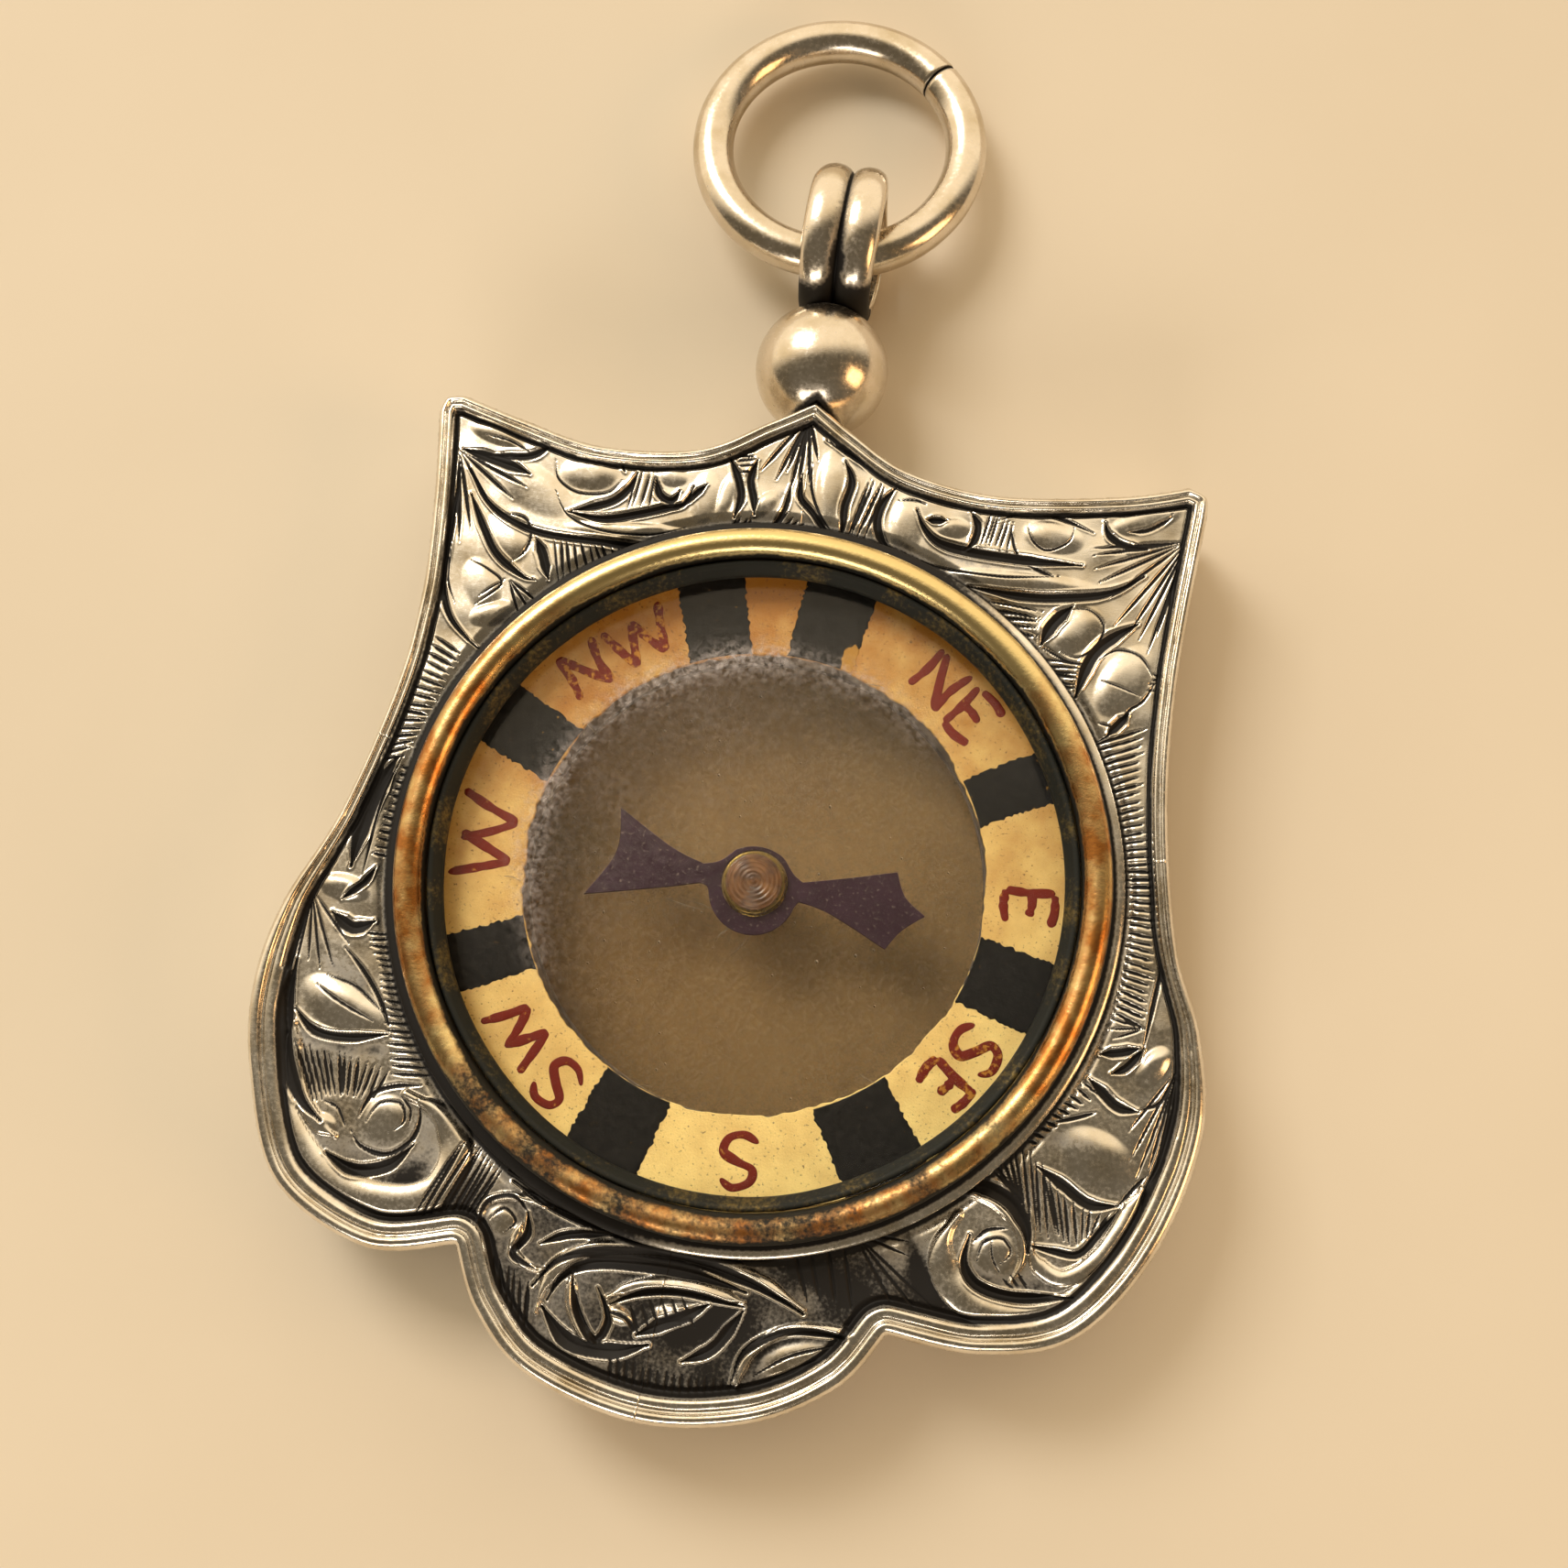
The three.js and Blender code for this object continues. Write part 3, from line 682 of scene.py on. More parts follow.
cut(0.1, (-10.3, 8.3), (-9.7, 8.1), (-9.2, 7.7), (-9.9, 6.9))
cut(0.1, (-8.1, 10.9), (-7.6, 10.2), (-6.5, 9.85), (-5.0, 9.95), (-3.9, 10.4))
pad(-10.3, 12.42, 0.95, 0.33, -12, 0.13)
pad(-7.2, 11.62, 0.95, 0.58, 4, 0.14)
pad(-8.9, 10.9, 1.5, 0.75, -25, 0.1)
pad(-5.2, 9.98, 2.6, 0.36, 4, 0.13)
pad(-3.5, 11.4, 0.5, 0.9, 0, 0.1)
pad(-4.6, 11.9, 0.5, 0.35, 0, 0.08)
pad(-9.3, 9.2, 0.95, 0.62, -50, 0.13)
pad(-9.8, 7.6, 0.95, 0.6, -58, 0.12)
pad(-9.3, 6.75, 0.75, 0.42, 25, 0.13)
print("left horn:", len(CUTS), "strokes so far")

# %% [markdown]
# Below the peak a spray of ribs opens downwards between narrow leaves, and short rows of hatching
# fill the ground beside them.

# %% Peak
fan((-0.75, 14.5), 0.15, (-1.95, 12.5), (-1.42, 12.3), (-1.15, 12.6), (-0.95, 12.0),
    (-0.72, 12.2), (-0.4, 12.35), (-0.25, 13.1))
cut(0.24, (-2.95, 12.8), (-2.6, 12.2), (-2.4, 11.6), (-2.5, 10.9))
cut(0.24, (-2.1, 12.85), (-2.2, 12.2), (-2.0, 11.6), (-1.9, 11.1))
cut(0.2, (-0.65, 12.6), (-0.6, 11.9), (-0.2, 11.5), (0.3, 11.0), (0.7, 10.7))
cut(0.18, (-0.95, 12.2), (-1.0, 11.4), (-1.4, 10.65))
hatch([(-3.0, 13.05), (-2.6, 12.4)], [(-2.15, 13.15), (-2.1, 12.5)], 5, 0.1)
hatch([(-2.45, 10.9), (-1.95, 11.0)], [(-2.6, 10.5), (-2.1, 10.5)], 4, 0.1)
hatch([(-0.85, 11.3), (0.35, 10.85)], [(-1.25, 10.75), (0.1, 10.7)], 8, 0.11)
cut(0.24, (0.6, 13.2), (0.9, 12.6), (0.8, 11.8), (0.85, 11.2), (0.8, 10.75))
cut(0.12, (-0.4, 13.0), (-0.3, 12.2), (0.1, 11.4), (0.6, 10.9))
shade(0.5, 0.8, (-1.7, 10.7), (-1.4, 11.3), (-1.15, 11.9))
pad(0.25, 12.3, 1.25, 0.45, 97, 0.14)
pad(-1.6, 11.5, 0.5, 0.3, 60, 0.1)
pad(-2.85, 11.6, 0.8, 0.3, 80, 0.1)
print("peak:", len(CUTS), "strokes so far")

# %% [markdown]
# The right horn answers the left one freely, as hand work does: a spray of ribs from the corner,
# a long low leaf along the bezel, and two round leaves where the flank begins.

# %% Right horn
fan((11.25, 12.3), 0.13, (8.4, 11.6), (8.5, 11.4), (8.6, 11.0), (8.8, 10.6), (9.1, 10.1),
    (9.4, 9.3), (9.9, 9.2), (10.2, 9.0), (10.5, 8.6), (10.7, 9.2), (11.05, 10.4))
cut(0.24, (-0.1, 13.8), (0.8, 13.4), (2.0, 13.02), (3.5, 12.68), (5.5, 12.58), (6.6, 12.7))
cut(0.07, (6.6, 12.7), (8.6, 12.95), (10.9, 13.6))
hatch([(1.4, 12.75), (1.95, 12.6)], [(1.0, 10.85), (1.5, 10.9)], 4, 0.13)
cut(0.26, (2.25, 12.6), (1.92, 12.0), (1.87, 11.4), (2.1, 10.9), (2.5, 10.6))
cut(0.3, (3.0, 12.0), (3.3, 11.5), (3.8, 11.1), (4.7, 10.95), (6.2, 10.93), (8.2, 11.05))
cut(0.2, (3.35, 11.75), (3.95, 11.8))
cut(0.22, (4.65, 12.2), (4.92, 11.8), (4.87, 11.3), (4.65, 11.0))
hatch([(5.25, 12.3), (5.95, 12.1)], [(5.1, 11.2), (5.85, 11.1)], 6, 0.09)
cut(0.16, (5.5, 12.05), (6.2, 12.42), (7.2, 12.45), (8.4, 12.1))
cut(0.12, (5.95, 11.8), (6.1, 11.3), (6.3, 11.0))
cut(0.14, (6.6, 10.78), (7.4, 10.55))
cut(0.26, (4.9, 9.9), (6.5, 9.8), (8.0, 10.0), (9.2, 10.35), (10.1, 11.0))
cut(0.22, (8.7, 12.5), (8.9, 12.1), (9.4, 11.87), (10.1, 11.85))
cut(0.16, (9.4, 12.3), (10.0, 12.45), (10.6, 12.9), (10.65, 13.05))
hatch([(5.5, 9.5), (6.35, 8.75)], [(7.25, 9.45), (7.15, 8.7)], 5, 0.12)
cut(0.36, (8.1, 9.75), (7.6, 9.1), (7.35, 8.45))
cut(0.12, (7.35, 8.4), (8.2, 8.03), (8.8, 8.05))
cut(0.34, (10.1, 9.5), (9.6, 9.1), (9.1, 8.6), (8.8, 8.0), (8.6, 7.0))
hatch([(7.35, 8.0), (8.1, 7.15)], [(8.65, 8.0), (8.5, 7.1)], 7, 0.11)
cut(0.12, (10.9, 7.9), (10.6, 7.2), (10.2, 6.8), (9.9, 6.2), (9.5, 5.8), (9.1, 5.7))
cut(0.26, (10.2, 6.7), (10.0, 6.4), (9.7, 6.0))
cut(0.1, (9.35, 6.3), (9.9, 6.25))
hatch([(10.6, 7.5), (10.75, 8.0)], [(10.9, 7.6), (10.95, 8.0)], 4, 0.08)
shade(0.55, 0.75, (4.2, 10.75), (5.6, 10.6), (7.4, 10.75))
cut(0.1, (2.4, 12.2), (2.9, 12.3), (3.3, 12.2))
cut(0.1, (2.7, 10.7), (3.2, 10.5), (4.4, 10.3), (6.0, 10.3), (7.6, 10.6))
cut(0.1, (7.9, 9.6), (8.6, 9.7), (9.1, 9.3), (9.0, 8.7), (8.5, 8.2), (7.9, 8.3))
cut(0.08, (9.2, 7.6), (9.9, 7.45), (10.5, 7.3))
cut(0.1, (9.1, 8.2), (9.6, 8.6), (10.3, 8.5), (10.8, 7.9))
cut(0.1, (6.4, 12.1), (6.6, 11.6), (7.1, 11.35), (7.7, 11.7), (7.8, 12.2))
pad(2.75, 11.5, 0.55, 0.95, 8, 0.12)
pad(4.2, 11.6, 0.55, 0.35, 10, 0.1)
pad(7.2, 11.8, 1.0, 0.55, -5, 0.14)
pad(6.4, 10.25, 2.6, 0.34, 3, 0.12)
pad(9.9, 12.75, 1.2, 0.4, 25, 0.1)
pad(8.35, 9.0, 0.95, 0.6, 50, 0.13)
pad(9.95, 7.7, 1.3, 0.75, 62, 0.14)
print("right horn:", len(CUTS), "strokes so far")

# %% [markdown]
# The flanks are too narrow for leaves, so rows of short cuts fill them. A row needs only its two
# guide lines and a number of strokes. The low ground on the left is black: oxide in a wide cut
# and painted shade beside it.

# %% Flanks
hatch([(9.25, 5.6), (9.9, 4.3), (10.45, 3.0), (10.85, 1.8), (11.02, 0.5), (11.08, -1.0),
       (11.0, -2.1)],
      [(10.8, 6.35), (10.9, 4.5), (11.35, 3.0), (11.7, 1.8), (11.9, 0.5), (12.0, -1.0),
       (11.95, -2.4)], 38, 0.12, 0.03)
fan((12.0, -2.4), 0.1, (10.9, -2.3), (10.95, -2.6), (11.1, -2.85))
cut(0.16, (12.05, 0.9), (12.2, -0.5), (12.1, -1.8), (12.0, -3.0))
hatch([(-10.9, 5.75), (-11.15, 4.5), (-11.4, 3.0), (-11.75, 1.7)],
      [(-10.0, 5.35), (-10.3, 4.2), (-10.7, 3.0), (-11.0, 2.0)], 16, 0.13, 0.03)
hatch([(-11.15, 1.6), (-11.3, 0.3), (-11.4, -1.1)],
      [(-10.75, 1.6), (-10.8, 0.3), (-10.95, -1.1)], 13, 0.12, 0.03)
cut(0.5, (-11.25, 1.9), (-11.7, 0.7), (-11.9, -0.6), (-11.95, -1.6))
cut(0.12, (-11.1, 1.9), (-11.45, 0.5), (-11.55, -1.8))
shade(0.9, 0.55, (-11.9, 0.6), (-12.2, -0.6), (-12.5, -1.8))
print("flanks:", len(CUTS), "strokes so far")

# %% [markdown]
# Each side lobe has a scroll with a leaf above it: a raised band curls in to a round knob, and
# cuts beside the band make it read as a roll.

# %% Left lobe
fan((-12.95, -2.5), 0.12, (-13.25, -4.5), (-12.95, -4.9), (-12.6, -4.6), (-12.2, -4.8),
    (-11.85, -4.6), (-11.5, -3.9))
cut(0.36, (-12.2, -3.05), (-11.5, -3.4), (-10.9, -3.1))
cut(0.2, (-12.0, -2.6), (-11.5, -2.1), (-11.2, -1.5))
hatch([(-11.1, -3.5), (-10.4, -4.6), (-9.95, -6.0), (-9.5, -7.4)],
      [(-10.45, -3.4), (-9.75, -4.5), (-9.05, -6.0), (-8.3, -7.25)], 21, 0.12, 0.03)
hatch([(-12.5, -6.9), (-11.0, -7.1), (-9.6, -7.3)], [(-11.6, -8.6), (-10.7, -8.3), (-9.9, -8.3)],
      14, 0.13)
cut(0.42, (-12.95, -4.6), (-12.95, -6.0), (-12.6, -7.4), (-12.0, -8.5), (-11.2, -9.1))
cut(0.24, (-12.7, -6.0), (-12.0, -6.55), (-11.0, -6.6), (-9.8, -6.3))
cut(0.12, (-12.2, -5.2), (-11.4, -5.6), (-10.3, -6.0))
cut(0.1, (-12.0, -4.9), (-11.0, -5.1), (-10.1, -5.7))
cut(0.16, (-11.6, -4.0), (-10.9, -4.6), (-10.2, -5.4), (-9.75, -6.2))
cut(0.3, (-10.9, -9.95), (-10.0, -10.3), (-9.0, -10.0), (-8.4, -9.3))
cut(0.16, (-10.15, -8.8), (-9.9, -8.1), (-9.3, -7.75), (-8.5, -7.6))
cut(0.16, (-8.5, -8.0), (-8.35, -8.6), (-8.5, -9.2), (-9.1, -9.7), (-9.9, -9.6), (-10.3, -9.2))
cut(0.1, (-11.3, -8.5), (-10.8, -8.65), (-10.45, -9.2))
shade(0.5, 0.8, (-12.3, -6.8), (-11.0, -6.9), (-9.9, -6.8))
shade(0.9, 0.75, (-11.9, -4.5), (-11.3, -4.7), (-10.9, -5.0))
shade(0.9, 0.45, (-8.2, -8.6), (-7.9, -9.4), (-8.3, -10.2))
band(0.95, 0.2, (-8.9, -7.9), (-7.6, -8.4), (-7.1, -9.4), (-7.5, -10.5), (-8.7, -10.95),
     (-10.2, -10.8), (-11.6, -10.0), (-12.7, -8.6), (-13.25, -6.8), (-13.2, -5.0))
band(0.5, 0.14, (-12.6, -6.4), (-12.3, -7.9), (-11.5, -9.0), (-10.7, -9.45))
cut(0.1, (-9.9, -8.9), (-9.6, -8.3), (-9.0, -8.2), (-8.8, -8.7), (-9.2, -9.1))
cut(0.09, (-9.1, -7.95), (-8.7, -8.3), (-8.65, -8.8))
pad(-9.35, -8.75, 0.78, 0.78, 0, 0.13)
pad(-12.0, -2.25, 0.85, 0.42, -5, 0.16)
pad(-11.2, -5.75, 1.6, 0.75, -22, 0.2)
pad(-11.1, -9.15, 0.45, 0.3, -20, 0.12)
print("left lobe:", len(CUTS), "strokes so far")

# %% [markdown]
# The right scroll curls the other way. A thin tendril runs from it towards the bottom lobe, and
# painted shade lies black at its leaf's root.

# %% Right lobe
cut(0.22, (12.0, -3.0), (11.6, -3.6), (11.2, -3.85))
cut(0.24, (10.8, -3.35), (11.4, -3.2), (11.9, -3.0))
cut(0.28, (10.6, -4.1), (11.0, -4.4), (11.5, -4.75), (12.1, -4.8))
cut(0.14, (12.1, -4.75), (12.7, -4.4), (13.0, -3.5))
fan((13.05, -3.4), 0.11, (11.9, -5.4), (12.05, -6.2), (12.3, -6.7), (12.6, -6.5), (12.85, -6.0))
hatch([(9.05, -6.1), (9.75, -5.2), (10.4, -4.2)], [(9.4, -6.15), (10.2, -5.2), (10.9, -4.5)],
      10, 0.12, 0.03)
cut(0.28, (9.5, -6.8), (10.3, -7.2), (11.1, -7.6), (11.9, -7.5))
cut(0.14, (11.9, -7.5), (12.3, -6.9), (12.6, -6.5))
cut(0.14, (9.75, -5.5), (10.4, -5.25), (10.95, -5.0))
hatch([(8.1, -7.0), (8.7, -6.45), (9.3, -6.4), (9.7, -6.9)],
      [(8.9, -7.6), (9.4, -8.3), (9.9, -8.7), (10.3, -8.6)], 10, 0.12)
hatch([(9.9, -7.15), (10.7, -7.55), (11.7, -7.75)], [(10.4, -8.65), (10.9, -8.8), (11.4, -8.3)],
      8, 0.12)
cut(0.4, (7.2, -8.0), (7.9, -7.65), (8.8, -7.85), (9.4, -8.5), (9.6, -9.2))
cut(0.26, (7.9, -9.0), (7.85, -9.8), (8.3, -10.35), (9.4, -10.5), (11.0, -10.2))
cut(0.2, (9.5, -9.0), (10.3, -9.05), (11.0, -9.0), (11.5, -8.3), (11.95, -7.6))
cut(0.12, (8.0, -9.2), (8.35, -8.8), (8.9, -8.65))
hatch([(9.0, -10.0), (9.4, -9.8)], [(9.3, -10.3), (9.7, -10.2)], 3, 0.1)
shade(0.6, 0.75, (9.7, -5.9), (10.2, -5.95), (10.8, -5.95))
shade(0.7, 0.7, (6.2, -9.2), (6.6, -10.2), (7.2, -11.0))
band(0.85, 0.22, (7.5, -8.5), (7.15, -9.4), (7.5, -10.4), (8.4, -10.95), (9.7, -10.95),
     (11.0, -10.4), (12.1, -9.2), (12.95, -7.4), (13.3, -5.4))
band(0.5, 0.18, (9.6, -9.0), (9.9, -9.5), (10.6, -9.75), (11.4, -9.2), (12.0, -8.2),
     (12.5, -6.9))
band(0.22, 0.14, (4.8, -9.4), (6.0, -8.8), (7.2, -7.95), (8.3, -8.0), (9.15, -8.6),
     (9.45, -9.4), (9.2, -10.1))
cut(0.1, (8.2, -9.7), (8.3, -9.15), (8.8, -8.95), (9.1, -9.3), (8.8, -9.7))
cut(0.08, (8.5, -9.0), (8.6, -9.5), (8.9, -9.95))
pad(8.65, -9.45, 0.72, 0.72, 0, 0.13)
pad(12.35, -3.45, 0.7, 0.42, 60, 0.18)
pad(11.2, -6.3, 1.3, 0.8, -25, 0.14)
print("right lobe:", len(CUTS), "strokes so far")

# %% [markdown]
# The bottom lobe is cut closest. Long stems arch over a small bud with a leaf on each side of it,
# and black lies in the hollows: oxide in the cuts and painted shade between them.

# %% Bottom lobe
fan((4.6, -9.5), 0.1, (6.2, -9.5), (6.3, -9.9), (7.2, -11.2), (6.9, -11.5), (6.2, -11.5))
hatch([(-7.0, -8.9), (-6.3, -9.1), (-5.7, -9.6)], [(-8.0, -11.3), (-7.2, -11.4), (-6.3, -11.0)],
      10, 0.13)
hatch([(-6.2, -11.8), (-5.2, -12.1), (-4.3, -12.5)], [(-5.6, -12.8), (-4.8, -13.5), (-4.2, -13.8)],
      9, 0.13)
hatch([(-1.6, -14.05), (0.2, -14.2), (1.9, -14.1)], [(-1.5, -14.75), (0.2, -14.85), (1.95, -14.7)],
      16, 0.11, 0.02)
hatch([(2.9, -10.1), (4.4, -9.9)], [(3.6, -11.6), (4.9, -11.6)], 4, 0.12)
hatch([(-1.3, -12.6), (0.1, -12.1)], [(-0.9, -13.4), (0.6, -12.9)], 6, 0.1)
cut(0.24, (-5.3, -9.8), (-4.0, -10.35), (-2.0, -10.7), (0.0, -10.85), (2.0, -10.7), (3.2, -10.4))
cut(0.3, (-4.2, -12.6), (-3.5, -11.7), (-2.2, -11.25), (0.0, -11.1), (2.0, -11.4), (3.6, -12.0))
cut(0.2, (-1.9, -12.7), (-1.0, -12.2), (0.2, -12.0), (1.9, -12.1))
cut(0.2, (-3.1, -12.0), (-2.8, -13.0), (-2.15, -13.75), (-1.85, -13.1), (-2.3, -12.3))
cut(0.14, (-2.0, -12.9), (-1.4, -12.95), (-1.0, -13.4))
cut(0.2, (1.9, -14.2), (2.15, -13.3), (3.2, -12.55), (4.5, -12.4), (5.3, -12.55))
cut(0.2, (-4.7, -10.6), (-4.6, -11.2), (-4.9, -11.8), (-4.2, -12.1))
cut(0.16, (-6.1, -11.3), (-5.9, -10.5), (-5.2, -10.2), (-4.7, -10.6))
cut(0.36, (-3.8, -13.1), (-2.9, -13.9), (-1.6, -13.95), (-0.6, -13.6))
cut(0.3, (-1.0, -13.4), (-0.2, -12.9), (0.5, -12.5), (0.9, -12.2))
cut(0.12, (2.5, -13.9), (3.4, -13.2), (4.6, -12.7))
cut(0.1, (2.9, -14.0), (3.8, -13.4), (4.9, -12.9))
cut(0.3, (-3.7, -12.9), (-3.4, -12.2), (-2.7, -11.7), (-1.6, -11.5), (0.2, -11.45),
    (1.9, -11.7))
cut(0.26, (0.4, -13.9), (1.2, -13.4), (1.7, -12.6), (1.9, -12.2))
cut(0.2, (-4.2, -11.4), (-3.4, -11.0), (-2.2, -10.8))
shade(1.0, 0.5, (0.2, -13.1), (1.0, -12.9), (1.5, -12.7))
shade(0.9, 0.5, (3.2, -10.7), (4.0, -10.9), (5.0, -11.3))
band(0.34, 0.2, (-5.5, -9.55), (-4.0, -10.1), (-2.0, -10.45), (0.0, -10.6), (1.8, -10.5),
     (3.3, -10.15), (4.8, -9.5))
band(0.4, 0.24, (-3.95, -13.3), (-3.75, -12.3), (-2.9, -11.35), (-1.2, -10.98), (0.6, -10.98),
     (2.3, -11.3), (3.6, -11.85))
band(0.36, 0.22, (-2.0, -12.5), (-1.1, -11.98), (0.2, -11.8), (1.9, -11.95))
band(0.34, 0.2, (-3.1, -12.1), (-3.0, -12.9), (-2.6, -13.5), (-2.15, -13.8))
band(0.3, 0.2, (2.05, -14.3), (2.3, -13.3), (3.3, -12.45), (4.5, -12.25), (5.4, -12.45))
band(0.24, 0.16, (-6.1, -11.2), (-5.9, -10.45), (-5.0, -10.2), (-4.0, -10.35))
band(0.24, 0.16, (-4.8, -10.9), (-4.95, -11.6), (-4.4, -12.1), (-3.9, -12.05))
cut(0.1, (-5.8, -11.0), (-5.4, -10.6), (-5.0, -10.9), (-5.3, -11.3))
pad(-5.4, -11.0, 0.6, 0.55, 0, 0.1)
pad(-1.55, -12.95, 0.45, 0.3, -20, 0.22)
pad(0.0, -12.6, 0.8, 0.3, 10, 0.14)
pad(3.6, -13.3, 1.3, 0.6, 22, 0.1)
print("strokes:", len(CUTS), "bands:", len(BANDS), "pads:", len(PADS))

# %% [markdown]
# Each stroke becomes a groove in the height of the silver. For a point near a stroke the depth
# falls off straight from the middle to the edge of the cut, which is the V of a graver, and the
# cut narrows to a point at both ends. Bands and pads rise in a round arch. Only points inside a
# stroke's own box are measured, so hundreds of strokes still take a second or two.

# %% Height and blackness of the engraved face
def to_line(x, y, line):
    """Distance from each point to a broken line, and the share of its length to the nearest
    place on it."""
    best = np.full(x.shape, np.inf)
    share = np.zeros(x.shape)
    steps = np.linalg.norm(np.diff(line, axis=0), axis=1)
    starts = np.concatenate([[0], np.cumsum(steps)])
    for (ax, ay), (bx, by), start, step in zip(line[:-1], line[1:], starts, steps):
        t = np.clip(((x - ax) * (bx - ax) + (y - ay) * (by - ay)) / step ** 2, 0, 1)
        distance = np.hypot(x - ax - t * (bx - ax), y - ay - t * (by - ay))
        nearer = distance < best
        best = np.where(nearer, distance, best)
        share = np.where(nearer, (start + t * step) / starts[-1], share)
    return best, share


def close_to(x, y, line, reach):
    """Numbers of the points inside the line's box, grown by the reach."""
    least, most = line.min(0) - reach, line.max(0) + reach
    inside = (x > least[0]) & (x < most[0]) & (y > least[1]) & (y < most[1])
    return np.flatnonzero(inside)


def engraving(x, y):
    """Height change in millimetres, blackness of oxide and painted shade, and 1 where the ground is
    left low.
    """
    depth, rise, black = np.zeros(x.shape), np.zeros(x.shape), np.zeros(x.shape)
    for px, py, long, short, turn, most in PADS:
        dx, dy = x - px, y - py
        along = (dx * math.cos(turn) + dy * math.sin(turn)) / long
        across = (dy * math.cos(turn) - dx * math.sin(turn)) / short
        dome = np.clip(1 - along ** 2 - across ** 2, 0, 1)
        rise = np.maximum(rise, most * bump_step(dome, 0, 1.1) * (0.8 + 0.3 * across))
    for width, most, line in BANDS:
        here = close_to(x, y, line, width)
        away, share = to_line(x[here], y[here], line)
        half = width / 2 * np.clip(np.minimum(share, 1 - share) * 8, 0.3, 1)
        arch = np.sqrt(np.clip(1 - (away / half) ** 2, 0, 1))
        rise[here] = np.maximum(rise[here], most * arch)
    lip = np.zeros(x.shape)
    for width, line in CUTS:
        wide = width * (1 + 0.35 * bump_step(width, 0.15, 0.22))
        here = close_to(x, y, line, wide)
        away, share = to_line(x[here], y[here], line)
        half = wide / 2 * np.clip(np.minimum(share, 1 - share) * 3.5, 0.12, 1) ** 0.8
        groove = np.clip(1 - away / half, 0, 1)
        depth[here] = np.maximum(depth[here], min(0.5 * wide, 0.13) * groove)
        black[here] = np.maximum(black[here], bump_step(groove, 0.05, 0.4))
        # The graver throws up a burr beside the cut, and rubbing keeps it bright.
        burr = 0.03 * np.exp(-((away - half - 0.035) / 0.03) ** 2) * bump_step(wide, 0.1, 0.3)
        lip[here] = np.maximum(lip[here], burr)
    # Shades are painted shade: black on broad ground, in the same number as the oxide in the cuts.
    for width, strength, line in SHADES:
        here = close_to(x, y, line, 1.2 * width)
        away, _ = to_line(x[here], y[here], line)
        soft = np.exp(-(away / (0.4 * width)) ** 2) * (0.75 + 0.25 * ripple(x[here], y[here], 0.25))
        black[here] = np.maximum(black[here], 0.7 * strength * soft)
    low_ground = (1 - bump_step(rise, 0.0, 0.06)) * (1 - bump_step(lip, 0.0, 0.02))
    return rise - depth + lip, black, low_ground


SPOT = (np.array([-7.2]), np.array([11.62]))
print("height on a leaf of the left horn:", round(float(engraving(*SPOT)[0][0]), 3), "mm")

# %% [markdown]
# The front shell is one surface folded into a closed loop: out over the engraved face, round
# the rolled edge, down the wall, back in under the sheet and up the hole. Rows follow that loop
# and columns run round the outline. It takes some 400,000 squares to hold strokes a tenth of a
# millimetre wide, so the sheet is made as four pieces that share their edge columns.

# %% Front shell
ROLL = 0.34
CREST_Z = heights("shield_front")[1]
SEAM_Z = heights("shield_front")[0]
FIELD_DROP = 0.33
SHEET = 0.55
HOLE_R = 10.42
EDGE_REACH = 0.95
FACE_ROWS = 128
EDGE_ROWS = 26


def from_edge(x, y, first, spread=70):
    """Distance of each column's points to the outline, searched `spread` steps either way."""
    best = np.full(x.shape, np.inf)
    for step in range(-spread, spread + 1):
        near_point = outline[(first + step) % OUTLINE_STEPS]
        best = np.minimum(best, np.hypot(x - near_point[:, :1], y - near_point[:, 1:]))
    return best


def border_width(y):
    """Width of the plain border: narrow along the top and flanks, wide round the lobes."""
    return 0.52 + 0.4 * bump_step(-y, 0.5, 6.0)


def face_height(x, y, away):
    """Height and blackness of the front face at a distance from the outline."""
    relief, black, low_ground = engraving(x, y)
    width = border_width(y)
    beads = np.sqrt(np.abs(np.sin(np.pi * np.clip(away / width, 0, 1) * 2)))
    crest = CREST_Z - 0.1 * (1 - beads) - 0.1 * bump_step(away, 0.4 * width, 0.6 * width)
    field = CREST_Z - FIELD_DROP + 0.035 * ripple(x, y, 1.6) + 0.018 * ripple(x, y, 0.7, 1)
    inside = bump_step(away, 0.75 * width, 1.15 * width)
    base = crest * (1 - inside) + (field + relief) * inside
    for middle, wide, deep in ((0.5, 0.1, 0.06), (1.05, 0.2, 0.12)):
        shaky = middle * width + 0.02 * ripple(x, y, 1.1, 2)
        groove = np.clip(1 - np.abs(away - shaky) / (wide * width), 0, 1)
        base = base - deep * groove
        black = np.maximum(black * (0.3 + 0.7 * inside), 0.95 * bump_step(groove, 0.1, 0.6))
    hole = np.hypot(x, y)
    # Black round the hole: oxide in the hollow there and painted shade in the gap by the bezel.
    black = np.maximum(black, 0.9 * bump_step(hole, 11.2, 10.98))
    base = base - 0.12 * bump_step(hole, 11.4, 11.02) * inside
    # The lower lobes' ground is darkened to grey-black, most where it is left low: painted shade
    # for the dim room that the flat silver reflects there.
    patchy = 1 + 0.2 * ripple(x, y, 0.8, 5)
    lower_lobe_shade = 0.24 * bump_step(-y, 3.0, 8.0) + 0.5 * bump_step(-y, 9.0, 10.6)
    low_down = lower_lobe_shade * patchy * (0.25 + 0.75 * low_ground) * inside
    roll = ROLL - np.sqrt(np.clip(ROLL ** 2 - (ROLL - np.minimum(away, ROLL)) ** 2, 0, None))
    return base - roll, np.clip(black + low_down, 0, 1)


